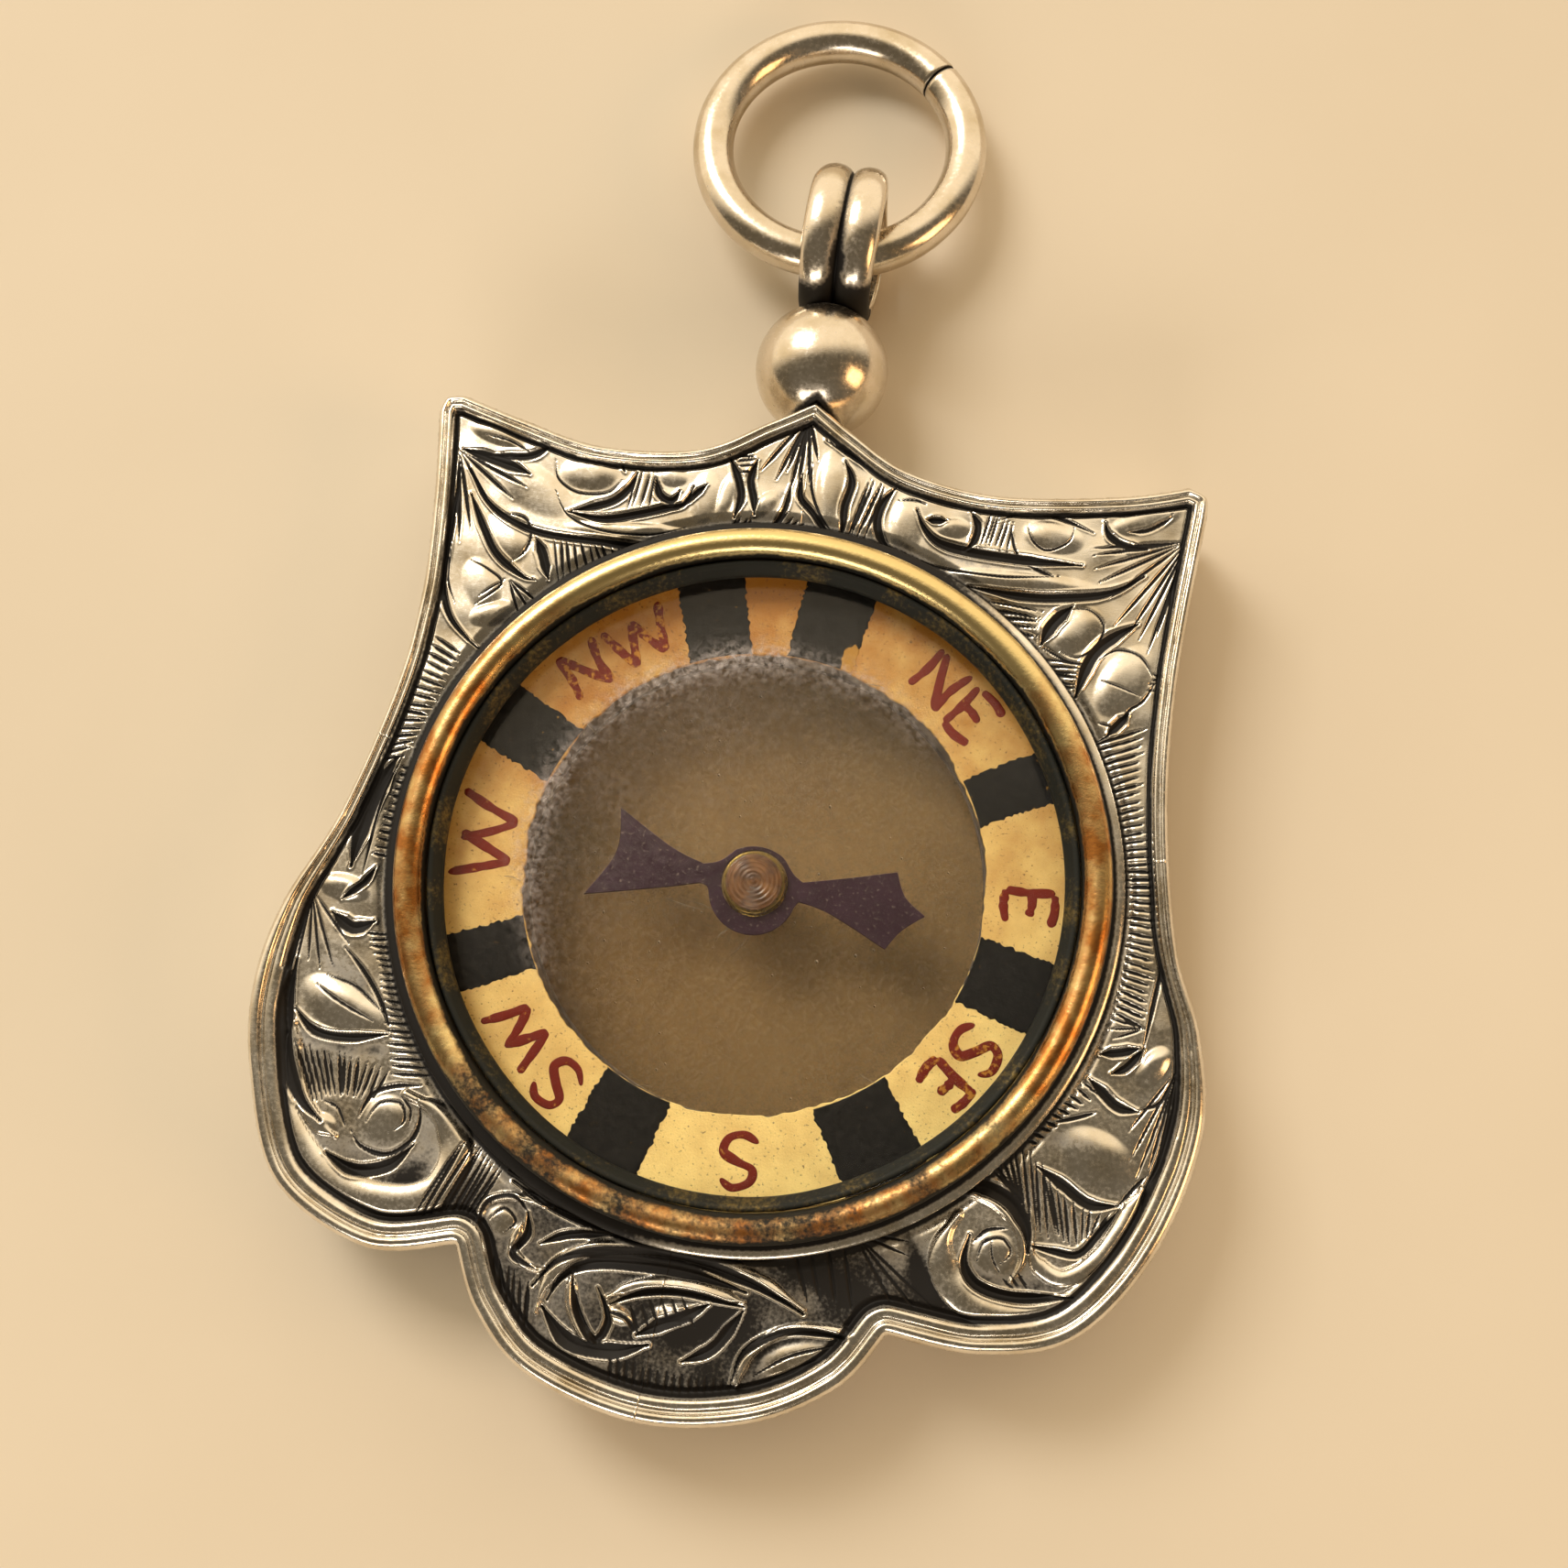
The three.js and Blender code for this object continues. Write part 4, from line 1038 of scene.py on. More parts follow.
def front_part(name, start, end, columns=590):
    """A stretch of the front shell between two shares of the outline's length."""
    index = np.linspace(start, end, columns + 1) * OUTLINE_STEPS
    first = np.round(index).astype(int)
    whole = np.vstack([outline, outline[:1]])
    rim = np.stack([np.interp(index, np.arange(OUTLINE_STEPS + 1), whole[:, k])
                    for k in (0, 1)], -1)
    rim_r = np.hypot(rim[:, 0], rim[:, 1])[:, None]
    side = rim / rim_r
    split = np.maximum(rim_r - EDGE_REACH, HOLE_R + 0.45 * (rim_r - HOLE_R))
    face = HOLE_R + (split - HOLE_R) * np.linspace(0, 1, FACE_ROWS)[None, :-1]
    close = 1 - (1 - np.linspace(0, 1, EDGE_ROWS)) ** 1.25
    edge = split + (rim_r - split) * close[None]
    r = np.hstack([face, edge])
    x, y = r * side[:, :1], r * side[:, 1:]
    away = from_edge(x, y, first)
    away[:, -1] = 0.0
    z, black = face_height(x.ravel(), y.ravel(), away.ravel())
    z, black = z.reshape(x.shape), black.reshape(x.shape)
    wall = [(1.0, CREST_Z - ROLL - drop) for drop in (0.25, 0.7, 1.2, 1.7)]
    wall += [(1.0, SEAM_Z + 0.05), (0.996, SEAM_Z), (0.93, SEAM_Z)]
    wall += [(0.93, CREST_Z - FIELD_DROP - SHEET - 0.15)]
    under = np.array(wall)
    low_r = rim_r * under[None, :, 0]
    low_r = np.maximum(low_r, HOLE_R + 0.12)
    low_z = np.broadcast_to(under[:, 1], low_r.shape)
    hole_r = np.full((len(rim), 2), HOLE_R)
    hole_z = np.broadcast_to([under[-1, 1], CREST_Z - FIELD_DROP - 0.35], hole_r.shape)
    r = np.hstack([r, low_r, hole_r])
    z = np.hstack([z, low_z, hole_z])
    black = np.hstack([black, np.zeros((len(rim), low_r.shape[1] + 2))])
    black[:, r.shape[1] - low_r.shape[1] - 1:] = 0.35
    points = np.stack([r * side[:, :1], r * side[:, 1:], z], -1)
    rows = r.shape[1]
    faces = quads(len(rim), rows, wrap_columns=True)
    loop = np.arange(rows)
    caps = [loop, (len(rim) - 1) * rows + loop[::-1]]
    return make_piece(name, points.reshape(-1, 3), faces, engraved_silver, "silver", "case",
                      ["shield_front"], caps, oxide=black)


def share_at(x, y):
    """Share of the outline's length where it passes closest to a place."""
    return np.argmin(np.hypot(outline[:, 0] - x, outline[:, 1] - y)) / OUTLINE_STEPS


left_waist = share_at(-12.0, 2.5)
foot = share_at(-0.6, -15.75)
right_waist = share_at(12.0, 2.5)
front_part("shield_front_left_horn", 0.0, left_waist)
front_part("shield_front_left_lobe", left_waist, foot)
front_part("shield_front_right_lobe", foot, right_waist)
front_part("shield_front_right_horn", right_waist, 1.0)

# %% [markdown]
# The back shell is a plain planished plate. Nobody engraves it, because it lies on the
# waistcoat, so it has only a rolled edge, the faint flats of a planishing hammer and hairlines.

# %% Back shell
def back_shell():
    """Rows run from the hole outwards under the plate, round its edge and back above it."""
    low_z, top_z = heights("shield_back")
    skip = 2
    rim = outline[::skip]
    rim_r = np.hypot(rim[:, 0], rim[:, 1])[:, None]
    side = rim / rim_r
    share = np.linspace(0, 1, 36)[None]
    plate_r = HOLE_R + (rim_r - ROLL - HOLE_R) * share
    plate_z = low_z + 0.012 * (ripple(plate_r * side[:, :1], plate_r * side[:, 1:], 1.3, 3) + 1)
    bend = np.linspace(0, np.pi / 2, 8)[None, 1:]
    edge_r = rim_r - ROLL + ROLL * np.sin(bend)
    edge_z = np.broadcast_to(low_z + ROLL * (1 - np.cos(bend)), edge_r.shape)
    top_r = np.hstack([rim_r, rim_r - 0.03, np.full_like(rim_r, HOLE_R)])
    top_high = np.broadcast_to([top_z - 0.03, top_z, top_z], top_r.shape)
    r = np.hstack([plate_r, edge_r, top_r])
    z = np.hstack([plate_z, edge_z, top_high])
    points = np.stack([r * side[:, :1], r * side[:, 1:], z], -1)
    ring = np.hypot(points[..., 0], points[..., 1])
    black = 0.75 * bump_step(ring, 11.0, 10.45)
    return make_piece("shield_back_plate", points.reshape(-1, 3),
                      quads(len(rim), r.shape[1], True, True), plain_silver, "silver", "case",
                      ["shield_back"], oxide=black)


back_shell()

# %% [markdown]
# The capsule is a stack of turned rings, so each is a profile with eased corners. Paint
# functions put grime low in the corners, oxide and painted shade on the collar, and copper
# patches on the left and right of the bezel.

# %% Collar, bezels and glass rings
def ring_angle(points):
    """Angle of each point round the needle's axis."""
    return np.arctan2(points[:, 1], points[:, 0])


def hand_turned(amount, seed):
    """A slight waver in radius and height, as worn hand work has."""
    def shift(angle, r, z):
        """Waver in radius everywhere, and in height only above 2 mm, so that feet stay flat."""
        waver = ripple(3 * np.cos(angle), 3 * np.sin(angle), 1.1, seed)
        return r + amount * waver, z + 0.6 * amount * np.roll(waver, 40, axis=0) * (z > 2)
    return shift


collar_low, collar_high = heights("case_collar")
COLLAR_R = radius("case_collar")
COLLAR_IN = 10.05
FLANGE_IN = 10.37
FLANGE_Z = 3.6
collar_profile = eased([(COLLAR_IN, collar_low), (FLANGE_IN, collar_low), (FLANGE_IN, FLANGE_Z),
                        (COLLAR_R - 0.06, FLANGE_Z), (COLLAR_R - 0.06, 3.74),
                        (COLLAR_R - 0.2, collar_high), (COLLAR_IN, collar_high)], 0.07)


def collar_oxide_and_shade(points):
    """Black all round, oxide and painted shade in the gap by the bezel, but bright along the outer
    edge on the lower right.
    """
    side = bump_step(points[:, 0] - 0.3 * points[:, 1], 0.0, 5.0)
    outer = bump_step(np.hypot(points[:, 0], points[:, 1]), 10.62, 10.8)
    return {"oxide": np.clip(1.05 - 1.05 * side * outer, 0, 1)}


turned("case_collar_ring", spaced(collar_profile, 0.12), engraved_silver, "silver",
       nodes=["case_collar"], steps=400, shift=hand_turned(0.015, 4), paint=collar_oxide_and_shade)

bezel_low, bezel_high = heights("front_bezel")
BEZEL_R = radius("front_bezel")
BEZEL_IN = 9.62
half_width = (BEZEL_R - BEZEL_IN) / 2
bend = np.linspace(0, np.pi, 22)
crest = np.stack([(BEZEL_R + BEZEL_IN) / 2 + half_width * np.cos(bend),
                  bezel_high - half_width + half_width * np.sin(bend)], -1)
bezel_profile = np.vstack([[(BEZEL_IN, bezel_low), (BEZEL_R, bezel_low)], crest])


def bezel_wear(points):
    """Grime on the sides, clean gold on the crest, copper patches at three and nine o'clock,
    and darker, coppery metal along the bottom."""
    angle = ring_angle(points)
    high_up = bump_step(points[:, 2], bezel_high - 0.4, bezel_high - 0.08)
    waver = 0.2 * ripple(4 * np.cos(angle), 4 * np.sin(angle), 0.5, 5)
    fine = 0.1 * ripple(30 * np.cos(angle), 30 * np.sin(angle), 0.7, 18)
    bottom = 0.58 * bump_step(-np.sin(angle), 0.25, 0.9)
    copper = 0.75 * np.exp(-((np.abs(np.cos(angle)) - 1) / 0.28) ** 2)
    copper = np.maximum(copper, 1.2 * bottom)
    return {"oxide": np.clip(0.98 - 0.98 * high_up + waver + fine + bottom, 0, 1),
            "copper": copper}


turned("front_bezel_ring", spaced(bezel_profile, 0.12), gilt_brass, "gilt_brass",
       nodes=["front_bezel"], steps=420, shift=hand_turned(0.02, 6), paint=bezel_wear)

grip_low, grip_high = heights("front_glass_ring")
GRIP_IN = 9.15
grip_profile = eased([(GRIP_IN, grip_low), (9.57, grip_low), (9.57, grip_high),
                      (9.4, grip_high), (GRIP_IN, grip_low + 0.22)], 0.08)
turned("glass_grip_ring", spaced(grip_profile, 0.08), dark_brass, "dark_brass",
       nodes=["front_glass_ring"], steps=400, shift=hand_turned(0.03, 7),
       paint=lambda p: {"oxide": 0.8 + 0.2 * ripple(p[:, 0], p[:, 1], 0.8, 8)})

rear_low, rear_high = heights("rear_bezel")
rear_profile = eased([(GRIP_IN, rear_high), (GRIP_IN, 0.22), (GRIP_IN + 0.22, rear_low),
                      (BEZEL_R - 0.22, rear_low), (BEZEL_R, 0.22), (BEZEL_R, rear_high)], 0.12)
turned("rear_bezel_ring", spaced(rear_profile, 0.12), gilt_brass, "gilt_brass",
       nodes=["rear_bezel"], steps=360,
       paint=lambda p: {"oxide": 0.5 * bump_step(p[:, 2], 0.05, 0.5)
                        + 0.2 * ripple(p[:, 0], p[:, 1], 1.4, 9),
                        "copper": 0.4 + 0.4 * ripple(p[:, 0], p[:, 1], 3.0, 10)})

# %% [markdown]
# The glasses. The front one is flat below and domed above, and the dome dies out at the rim
# where the ring grips it. Dust gathers where the air is still: along the upper left of the front
# glass, mixed there with a painted reflection of the card's edge, and round the foot of the pivot.

# %% Glasses
def dust_and_reflection(points):
    """A light film everywhere, more towards the upper left, and a whitish crescent along the card's
    inner edge there that is dust and a painted reflection of that edge."""
    r = np.hypot(points[:, 0], points[:, 1])
    side = bump_step(points[:, 1] - 0.9 * points[:, 0], -2.0, 9.0)
    drift = 0.65 + 0.35 * ripple(points[:, 0], points[:, 1], 1.2, 11)
    # The crescent is dust and a painted reflection of the card's edge.
    reflection_and_dust_crescent = np.exp(-((r - 6.7) / 0.45) ** 2)
    film = 0.02 + side * drift * (0.1 * bump_step(r, 7.4, 5.5) + 0.8 * reflection_and_dust_crescent)
    return {"dust": np.clip(film, 0, 1)}


def sooty(points):
    """An even brown film on the rear glass with slow drifts."""
    return {"dust": 0.7 + 0.3 * ripple(points[:, 0], points[:, 1], 2.2, 17)}


glass_low, glass_top = heights("front_glass")
FLAT_Z = 3.62
GLASS_R = 9.6
dome_share = np.linspace(1, 0, 40)
dome = np.stack([GRIP_IN * dome_share, FLAT_Z + (glass_top - FLAT_Z) * (1 - dome_share ** 2)], -1)
glass_profile = np.vstack([[(0, glass_low)],
                           np.stack([np.linspace(0.3, 9.5, 30), np.full(30, glass_low)], -1),
                           [(GLASS_R, glass_low + 0.05), (GLASS_R, FLAT_Z)], dome])
turned("front_glass_dome", glass_profile, soda_glass, "glass", nodes=["front_glass"],
       steps=240, paint=dust_and_reflection)

pane_low, pane_high = heights("rear_glass")
pane_edge = eased([(0.3, pane_low), (GLASS_R, pane_low), (GLASS_R, pane_high), (0.3, pane_high)],
                  0.05, closed=False)
pane = np.vstack([[(0, pane_low)], pane_edge, [(0, pane_high)]])
turned("rear_glass_pane", spaced(pane, 0.4, closed=False), back_glass, "glass",
       nodes=["rear_glass"], steps=200, paint=sooty)

# %% [markdown]
# The dial card is a paper ring. Its inner edge was cut by hand and has frayed, so the radius
# there wavers. The pulp-board ring below holds it up and shows as a dusty wall, its colours
# darkened as painted shade from the card above.

# %% Card and its support
card_low, card_top = heights("dial_card")
CARD_IN = 6.9
CARD_OUT = 9.6
CARD_MIDDLE = 8.2


def frayed(angle, r, z):
    """The inner edge moves by up to 0.1 mm, coarsely and then finely."""
    edge = bump_step(r, CARD_IN + 0.35, CARD_IN)
    x, y = 7 * np.cos(angle), 7 * np.sin(angle)
    fray = 0.06 * ripple(x, y, 1.1, 12) + 0.04 * ripple(x, y, 0.22, 13)
    return r + edge * fray, z


def card_shadow_and_tone(points):
    """Painted shadow and light: darker ochre at the top in the bezel's shade, gold at the sides,
    pale at the bottom, with a slow random drift of tone.
    """
    lean = points[:, 0] * 0.3 - points[:, 1]
    tone = 0.46 + 0.055 * lean + 0.1 * ripple(points[:, 0], points[:, 1], 2.5, 14)
    return {"pale": np.clip(tone, 0, 1)}


card_profile = eased([(CARD_IN, card_low), (CARD_OUT, card_low), (CARD_OUT, card_top),
                      (CARD_IN, card_top)], 0.04)
turned("dial_card_ring", spaced(card_profile, 0.08), gilt_paper, "gilt_paper",
       nodes=["dial_card"], steps=900, shift=frayed, paint=card_shadow_and_tone)

for node, title, inner in (("dial_support", "pulp_support_ring", CARD_IN + 0.08),
                           ("rear_mask", "rear_mask_ring", CARD_IN)):
    base, top = heights(node)
    ring_profile = eased([(inner, base), (CARD_OUT, base), (CARD_OUT, top), (inner, top)], 0.05)
    turned(title, spaced(ring_profile, 0.15), pulp_board, "pulp_board", nodes=[node],
           steps=360, shift=hand_turned(0.03, 15),
           paint=lambda p: {"pale": 0.5 + 0.5 * ripple(p[:, 0], p[:, 1], 0.9, 16)})

# %% [markdown]
# Eight black bars part the compass points. Each was filled in with a brush between two pencil
# lines, so its edges waver and its corners are blunt. A bar is a thin film with an arched top.

# %% Bars on the card
BAR_TURNS = [7, 61, 103, 146, 199, 245, 294, 342]
BAR_WIDTHS = [15, 11, 15, 17, 16, 12, 14, 14]
INK = 0.014


def film(top_grid, thickness):
    """Closed thin film: a grid of points, the same grid lowered, and walls round its edge."""
    rows, columns = top_grid.shape[:2]
    under = top_grid - [0, 0, thickness]
    points = np.vstack([top_grid.reshape(-1, 3), under.reshape(-1, 3)])
    number = np.arange(rows * columns).reshape(rows, columns)
    loop = np.concatenate([number[0], number[1:, -1], number[-1, -2::-1], number[-2:0:-1, 0]])
    after = np.roll(loop, -1)
    shift = rows * columns
    walls = np.stack([after, loop, loop + shift, after + shift], -1)
    upper = quads(rows, columns)
    return points, np.vstack([upper, upper[:, ::-1] + shift, walls])


def joined(parts):
    """Several closed meshes as one set of points and faces."""
    starts = np.cumsum([0] + [len(points) for points, _ in parts[:-1]])
    return (np.vstack([points for points, _ in parts]),
            np.vstack([faces + start for (_, faces), start in zip(parts, starts)]))


def bar(turn, width, seed):
    """Bar centred `turn` degrees clockwise from the top: r runs from edge to edge of the card
    and the angle runs across the bar, each edge wavering by up to about 0.08 mm."""
    r = np.linspace(CARD_IN + 0.03, CARD_OUT - 0.02, 60)[:, None]
    across = np.linspace(-1, 1, 40)[None]
    rough = 0.035 * ripple(r, across * 0 + seed, 0.5, seed)
    rough = rough + 0.05 * ripple(r * 7, across * 4, 0.6, seed)
    # Sides stay nearly parallel, so the angle narrows as the radius grows.
    half = math.radians(width / 2) * (CARD_MIDDLE / r) ** 0.7
    angle = math.radians(90 - turn) - across * half - rough * across ** 2 / r
    z = card_top + INK * (1 - 0.6 * np.abs(across) ** 6)
    return film(np.stack(np.broadcast_arrays(r * np.cos(angle), r * np.sin(angle), z), -1), INK)


bar_points, bar_faces = joined([bar(t, w, 20 + k)
                                for k, (t, w) in enumerate(zip(BAR_TURNS, BAR_WIDTHS))])
# One chip of ink has flaked off beside the top.
CHIP = (1.8, 7.05)
chipped = np.hypot(bar_points[:, 0] - CHIP[0], 0.6 * (bar_points[:, 1] - CHIP[1]))
make_piece("dial_bars", bar_points, bar_faces, black_ink, "gilt_paper", "case",
           worn=0.6 * bump_step(chipped, 0.42, 0.2))

# %% [markdown]
# The letters are generic compass points drawn by hand with a fine brush, tops outwards. Each
# letter is a few strokes in a square of its own, and a stroke is a film whose width swells and
# thins along its path.

# %% Letters on the card
STROKES = {
    "N": [[(0, 0), (0.05, 0.5), (0, 1)], [(0, 1), (0.35, 0.5), (0.75, 0)],
          [(0.75, 0), (0.7, 0.5), (0.8, 1.05)]],
    "E": [[(0, 0), (0.03, 0.5), (0, 1)], [(0, 1), (0.35, 1.02), (0.65, 0.95)],
          [(0, 0.52), (0.25, 0.55), (0.5, 0.5)], [(0, 0), (0.3, -0.03), (0.65, 0.05)]],
    "S": [[(0.7, 0.85), (0.45, 1.02), (0.12, 0.9), (0.08, 0.65), (0.4, 0.5), (0.68, 0.32),
           (0.6, 0.05), (0.3, -0.03), (0, 0.12)]],
    "W": [[(0, 1), (0.14, 0.5), (0.28, 0)], [(0.28, 0), (0.42, 0.4), (0.6, 0.9)],
          [(0.6, 0.9), (0.76, 0.4), (0.95, 0)], [(0.95, 0), (1.1, 0.5), (1.3, 1)]],
}
LETTER_GAP = 0.25
LETTER_STROKE = 0.27
# What is written, where it stands clockwise from the top, how tall it is and how worn.
LETTERS = [("NE", 39, 1.5, 0.0), ("E", 87, 1.45, 0.02), ("SE", 123, 1.4, 0.12),
           ("S", 173, 1.45, 0.02), ("SW", 222, 1.4, 0.0), ("W", 270, 1.8, 0.0),
           ("NW", 320, 1.5, 0.15)]


def ink_stroke(path, width, seed):
    """Film along a path. Across it the height is an arch, along it the width swells."""
    middle = through(path, 10)
    along = np.gradient(middle, axis=0)
    along /= np.linalg.norm(along, axis=1, keepdims=True)
    normal = np.stack([-along[:, 1], along[:, 0]], -1)
    share = np.linspace(0, 1, len(middle))
    swell = np.sqrt(np.clip(1 - (2 * share - 1) ** 6, 0.02, 1))
    half = width / 2 * swell * (1 + 0.25 * ripple(share * 8, share * 0, 1.0, seed))
    across = np.linspace(-1, 1, 9)
    flat = middle[:, None] + normal[:, None] * (half[:, None] * across)[..., None]
    arch = np.broadcast_to(INK * (1.2 - across ** 2), flat.shape[:2])
    return np.dstack([flat, card_top + arch])


def word(letters, turn, tall, seed):
    """Letters set side by side and turned so that their tops point outwards."""
    wide = {"W": 1.6}
    widths = [0.8 * wide.get(letter, 1) for letter in letters]
    left = -(sum(widths) + LETTER_GAP * (len(letters) - 1)) / 2
    angle = math.radians(-turn)
    parts = []
    for letter, step in zip(letters, widths):
        for k, path in enumerate(STROKES[letter]):
            tilt = 0.06 * math.sin(seed + 3 * k)
            flat = [((left + px + tilt * py) * tall, (py - 0.5) * tall) for px, py in path]
            grid = ink_stroke(flat, LETTER_STROKE, seed + k)
            x, y = grid[..., 0], grid[..., 1] + CARD_MIDDLE
            parts.append(film(np.stack([x * math.cos(angle) - y * math.sin(angle),
                                        x * math.sin(angle) + y * math.cos(angle),
                                        grid[..., 2]], -1), 1.2 * INK))
        left += step + LETTER_GAP
    return parts


inked, letter_wear = [], []
for k, (text, turn, tall, wear) in enumerate(LETTERS):
    strokes = word(text, turn, tall, 30 + 5 * k)
    inked += strokes
    letter_wear += [np.full(len(points), wear) for points, _ in strokes]
make_piece("dial_letters", *joined(inked), red_ink, "gilt_paper", "case",
           worn=np.concatenate(letter_wear))

# %% [markdown]
# The ball is soldered behind the peak. It's a sphere whose poles lie on the fob's length, and
# the side towards the shield is filed back to a seat that follows the peak.

# %% Ball
ball_low, ball_high = corners("ball_finial")
BALL_R = float(ball_high[0] - ball_low[0]) / 2
STEM_X = float(ball_high[0] + ball_low[0]) / 2
BALL_Y = float(ball_high[1]) - BALL_R
MID_Z = float(ball_high[2] + ball_low[2]) / 2


def ball():
    """(x, y, z) = (sin a cos b, cos a, sin a sin b) times the radius, y held above the seat."""
    a = np.linspace(0, np.pi, 110)[1:-1, None]
    b = np.linspace(0, 2 * np.pi, 160, endpoint=False)[None]
    grid = np.stack(np.broadcast_arrays(np.sin(a) * np.cos(b), np.cos(a), np.sin(a) * np.sin(b)),
                    -1)
    poles = np.array([[0, 1.0, 0], [0, -1.0, 0]])
    points = np.vstack([grid.reshape(-1, 3), poles]) * BALL_R + [STEM_X, BALL_Y, MID_Z]
    top = outline[(outline[:, 1] > 12.4) & (np.abs(outline[:, 0]) < 6)]
    order = np.argsort(top[:, 0])
    seat = np.interp(points[:, 0], top[order, 0], top[order, 1]) + 0.04
    points[:, 1] = np.maximum(points[:, 1], seat)
    columns = grid.shape[1]
    last = grid.shape[0] * columns
    here = np.arange(columns)
    caps = np.vstack([np.stack([np.roll(here, -1), here, np.full(columns, last)], -1),
                      np.stack([here, np.roll(here, -1), np.full(columns, last + 1)], -1)
                      + [last - columns, last - columns, 0]])
    high = points[:, 1] - BALL_Y
    black = np.maximum(bump_step(high, 1.75, 2.0), 0.9 * bump_step(points[:, 1] - seat, 0.35, 0.05))
    return make_piece("ball_finial_sphere", points, quads(*grid.shape[:2], wrap_columns=True),
                      polished_silver, "silver", "case", ["ball_finial"], caps, True,
                      oxide=np.clip(black, 0, 1))


ball()

# %% [markdown]
# The bail is a reeded strip bent into a loop: two half-round ridges with a groove between them.
# The section is carried round an oval that stands upright, and where the loop meets the ball it
# is pressed out to the ball's surface. Black lies in the groove and round the foot.

# %% Bail
bail_low, bail_high = corners("bail")
BAIL_HALF = (1.95, 1.7)
BAIL_RIDGE = 0.56
BAIL_GROOVE = 0.2
BAIL_OUTSIDE = 61
BAIL_INSIDE = 21


def bail():
    """Loop (cos a, sin a) scaled to the oval plus its normal times the section's height."""
    middle_y = float(bail_high[1]) - BAIL_HALF[0] - BAIL_RIDGE
    wide = float(bail_high[0] - bail_low[0]) / 2
    a = np.linspace(0, 2 * np.pi, 240, endpoint=False)[:, None]
    over = np.linspace(-1, 1, BAIL_OUTSIDE)
    ridges = np.sqrt(np.clip(1 - (2 * np.abs(over) - 1) ** 2, 0, 1))
    height = BAIL_GROOVE + (BAIL_RIDGE - BAIL_GROOVE) * ridges
    across = np.concatenate([over, np.linspace(1, -1, BAIL_INSIDE)])[None]
    out = np.concatenate([height, np.zeros(BAIL_INSIDE)])[None]
    normal = np.stack([np.cos(a) * BAIL_HALF[1], np.sin(a) * BAIL_HALF[0]], -1)
    normal /= np.linalg.norm(normal, axis=-1, keepdims=True)
    # The strip is a little narrower at the top of the loop than at its shoulders.
    taper = 1 - 0.1 * bump_step(np.cos(a), 0.55, 1.0) - 0.06 * bump_step(-np.cos(a), 0.2, 1.0)
    y = middle_y + np.cos(a) * BAIL_HALF[0] + normal[..., 0] * out
    z = MID_Z + np.sin(a) * BAIL_HALF[1] + normal[..., 1] * out
    x = STEM_X + wide * across * taper
    grid = np.stack(np.broadcast_arrays(x, y, z), -1)
    from_ball = grid - [STEM_X, BALL_Y, MID_Z]
    distance = np.linalg.norm(from_ball, axis=-1, keepdims=True)
    grid = grid + from_ball / distance * np.clip(BALL_R + 0.03 - distance, 0, None)
    groove = np.concatenate([1 - ridges, np.full(BAIL_INSIDE, 0.45)])
    groove[[0, BAIL_OUTSIDE - 1]] = 0
    low_down = bump_step(np.cos(a), 0.1, -0.6)
    blots = 0.3 * bump_step(ripple(a * 3, across * 2, 0.7, 61), 0.1, 0.5) * low_down
    middle = np.exp(-(across / 0.24) ** 2) * (0.45 + 0.55 * low_down)
    feet = bump_step(np.cos(a), -0.72, -0.92)
    black = np.clip(bump_step(groove, 0.5, 0.85) * (np.abs(across) < 0.5) + middle + blots
                    + feet, 0, 1)
    return make_piece("bail_loop", grid.reshape(-1, 3),
                      quads(*grid.shape[:2], wrap_rows=True, wrap_columns=True),
                      polished_silver, "silver", "case", ["bail"], oxide=black)


bail()

# %% [markdown]
# The jump ring is round wire bent into a circle and left with a saw cut, whose ends don't quite
# meet. It hangs in the bail and swings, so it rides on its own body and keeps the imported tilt.

# %% Jump ring
swing = next(joint for joint in frame["joints"] if joint["child"] == "ring")
ring_low, ring_high = corners("jump_ring")
WIRE_R = 0.67
RING_R = float(ring_high[0] - ring_low[0]) / 2 - WIRE_R
RING_X = float(ring_high[0] + ring_low[0]) / 2
RING_TILT = -math.radians(7)
CUT_AT = math.radians(46)
CUT_GAP = 0.12 / RING_R


def jump_ring(pivot):
    """Wire carried round a circle: centre + ((R + w cos b) cos a, (R + w cos b) sin a,
    w sin b), with the two ends rounded over and one bent 0.1 mm aside."""
    turn = np.linspace(0, 1, 300)
    a = CUT_AT + CUT_GAP / 2 + turn * (2 * np.pi - CUT_GAP)
    b = np.linspace(0, 2 * np.pi, 48, endpoint=False)
    end = np.minimum(turn, 1 - turn) * RING_R * 2 * np.pi
    wire = WIRE_R * (1 - 0.06 * bump_step(end, 0.1, 0.0))[:, None]
    wire = wire * (1 + 0.012 * ripple(turn * 20, turn * 0, 1.0, 60)[:, None])
    bent = 0.09 * bump_step(turn, 0.93, 1.0)[:, None]
    r = RING_R + wire * np.cos(b) - 0.6 * bent
    grid = np.stack([r * np.cos(a)[:, None], RING_R + r * np.sin(a)[:, None],
                     wire * np.sin(b) + bent], -1)
    points = grid.reshape(-1, 3)
    tilted = points.copy()
    tilted[:, 1] = points[:, 1] * math.cos(RING_TILT) - points[:, 2] * math.sin(RING_TILT)
    tilted[:, 2] = points[:, 1] * math.sin(RING_TILT) + points[:, 2] * math.cos(RING_TILT)
    tilted += [RING_X, pivot[1], pivot[2]]
    count = len(b)
    caps = [np.arange(count)[::-1], (len(a) - 1) * count + np.arange(count)]
    black = np.repeat(0.85 * bump_step(end, 0.09, 0.0), count)
    return make_piece("jump_ring_wire", tilted, quads(len(a), count, wrap_columns=True),
                      polished_silver, "silver", "ring", ["jump_ring"], caps, oxide=black)


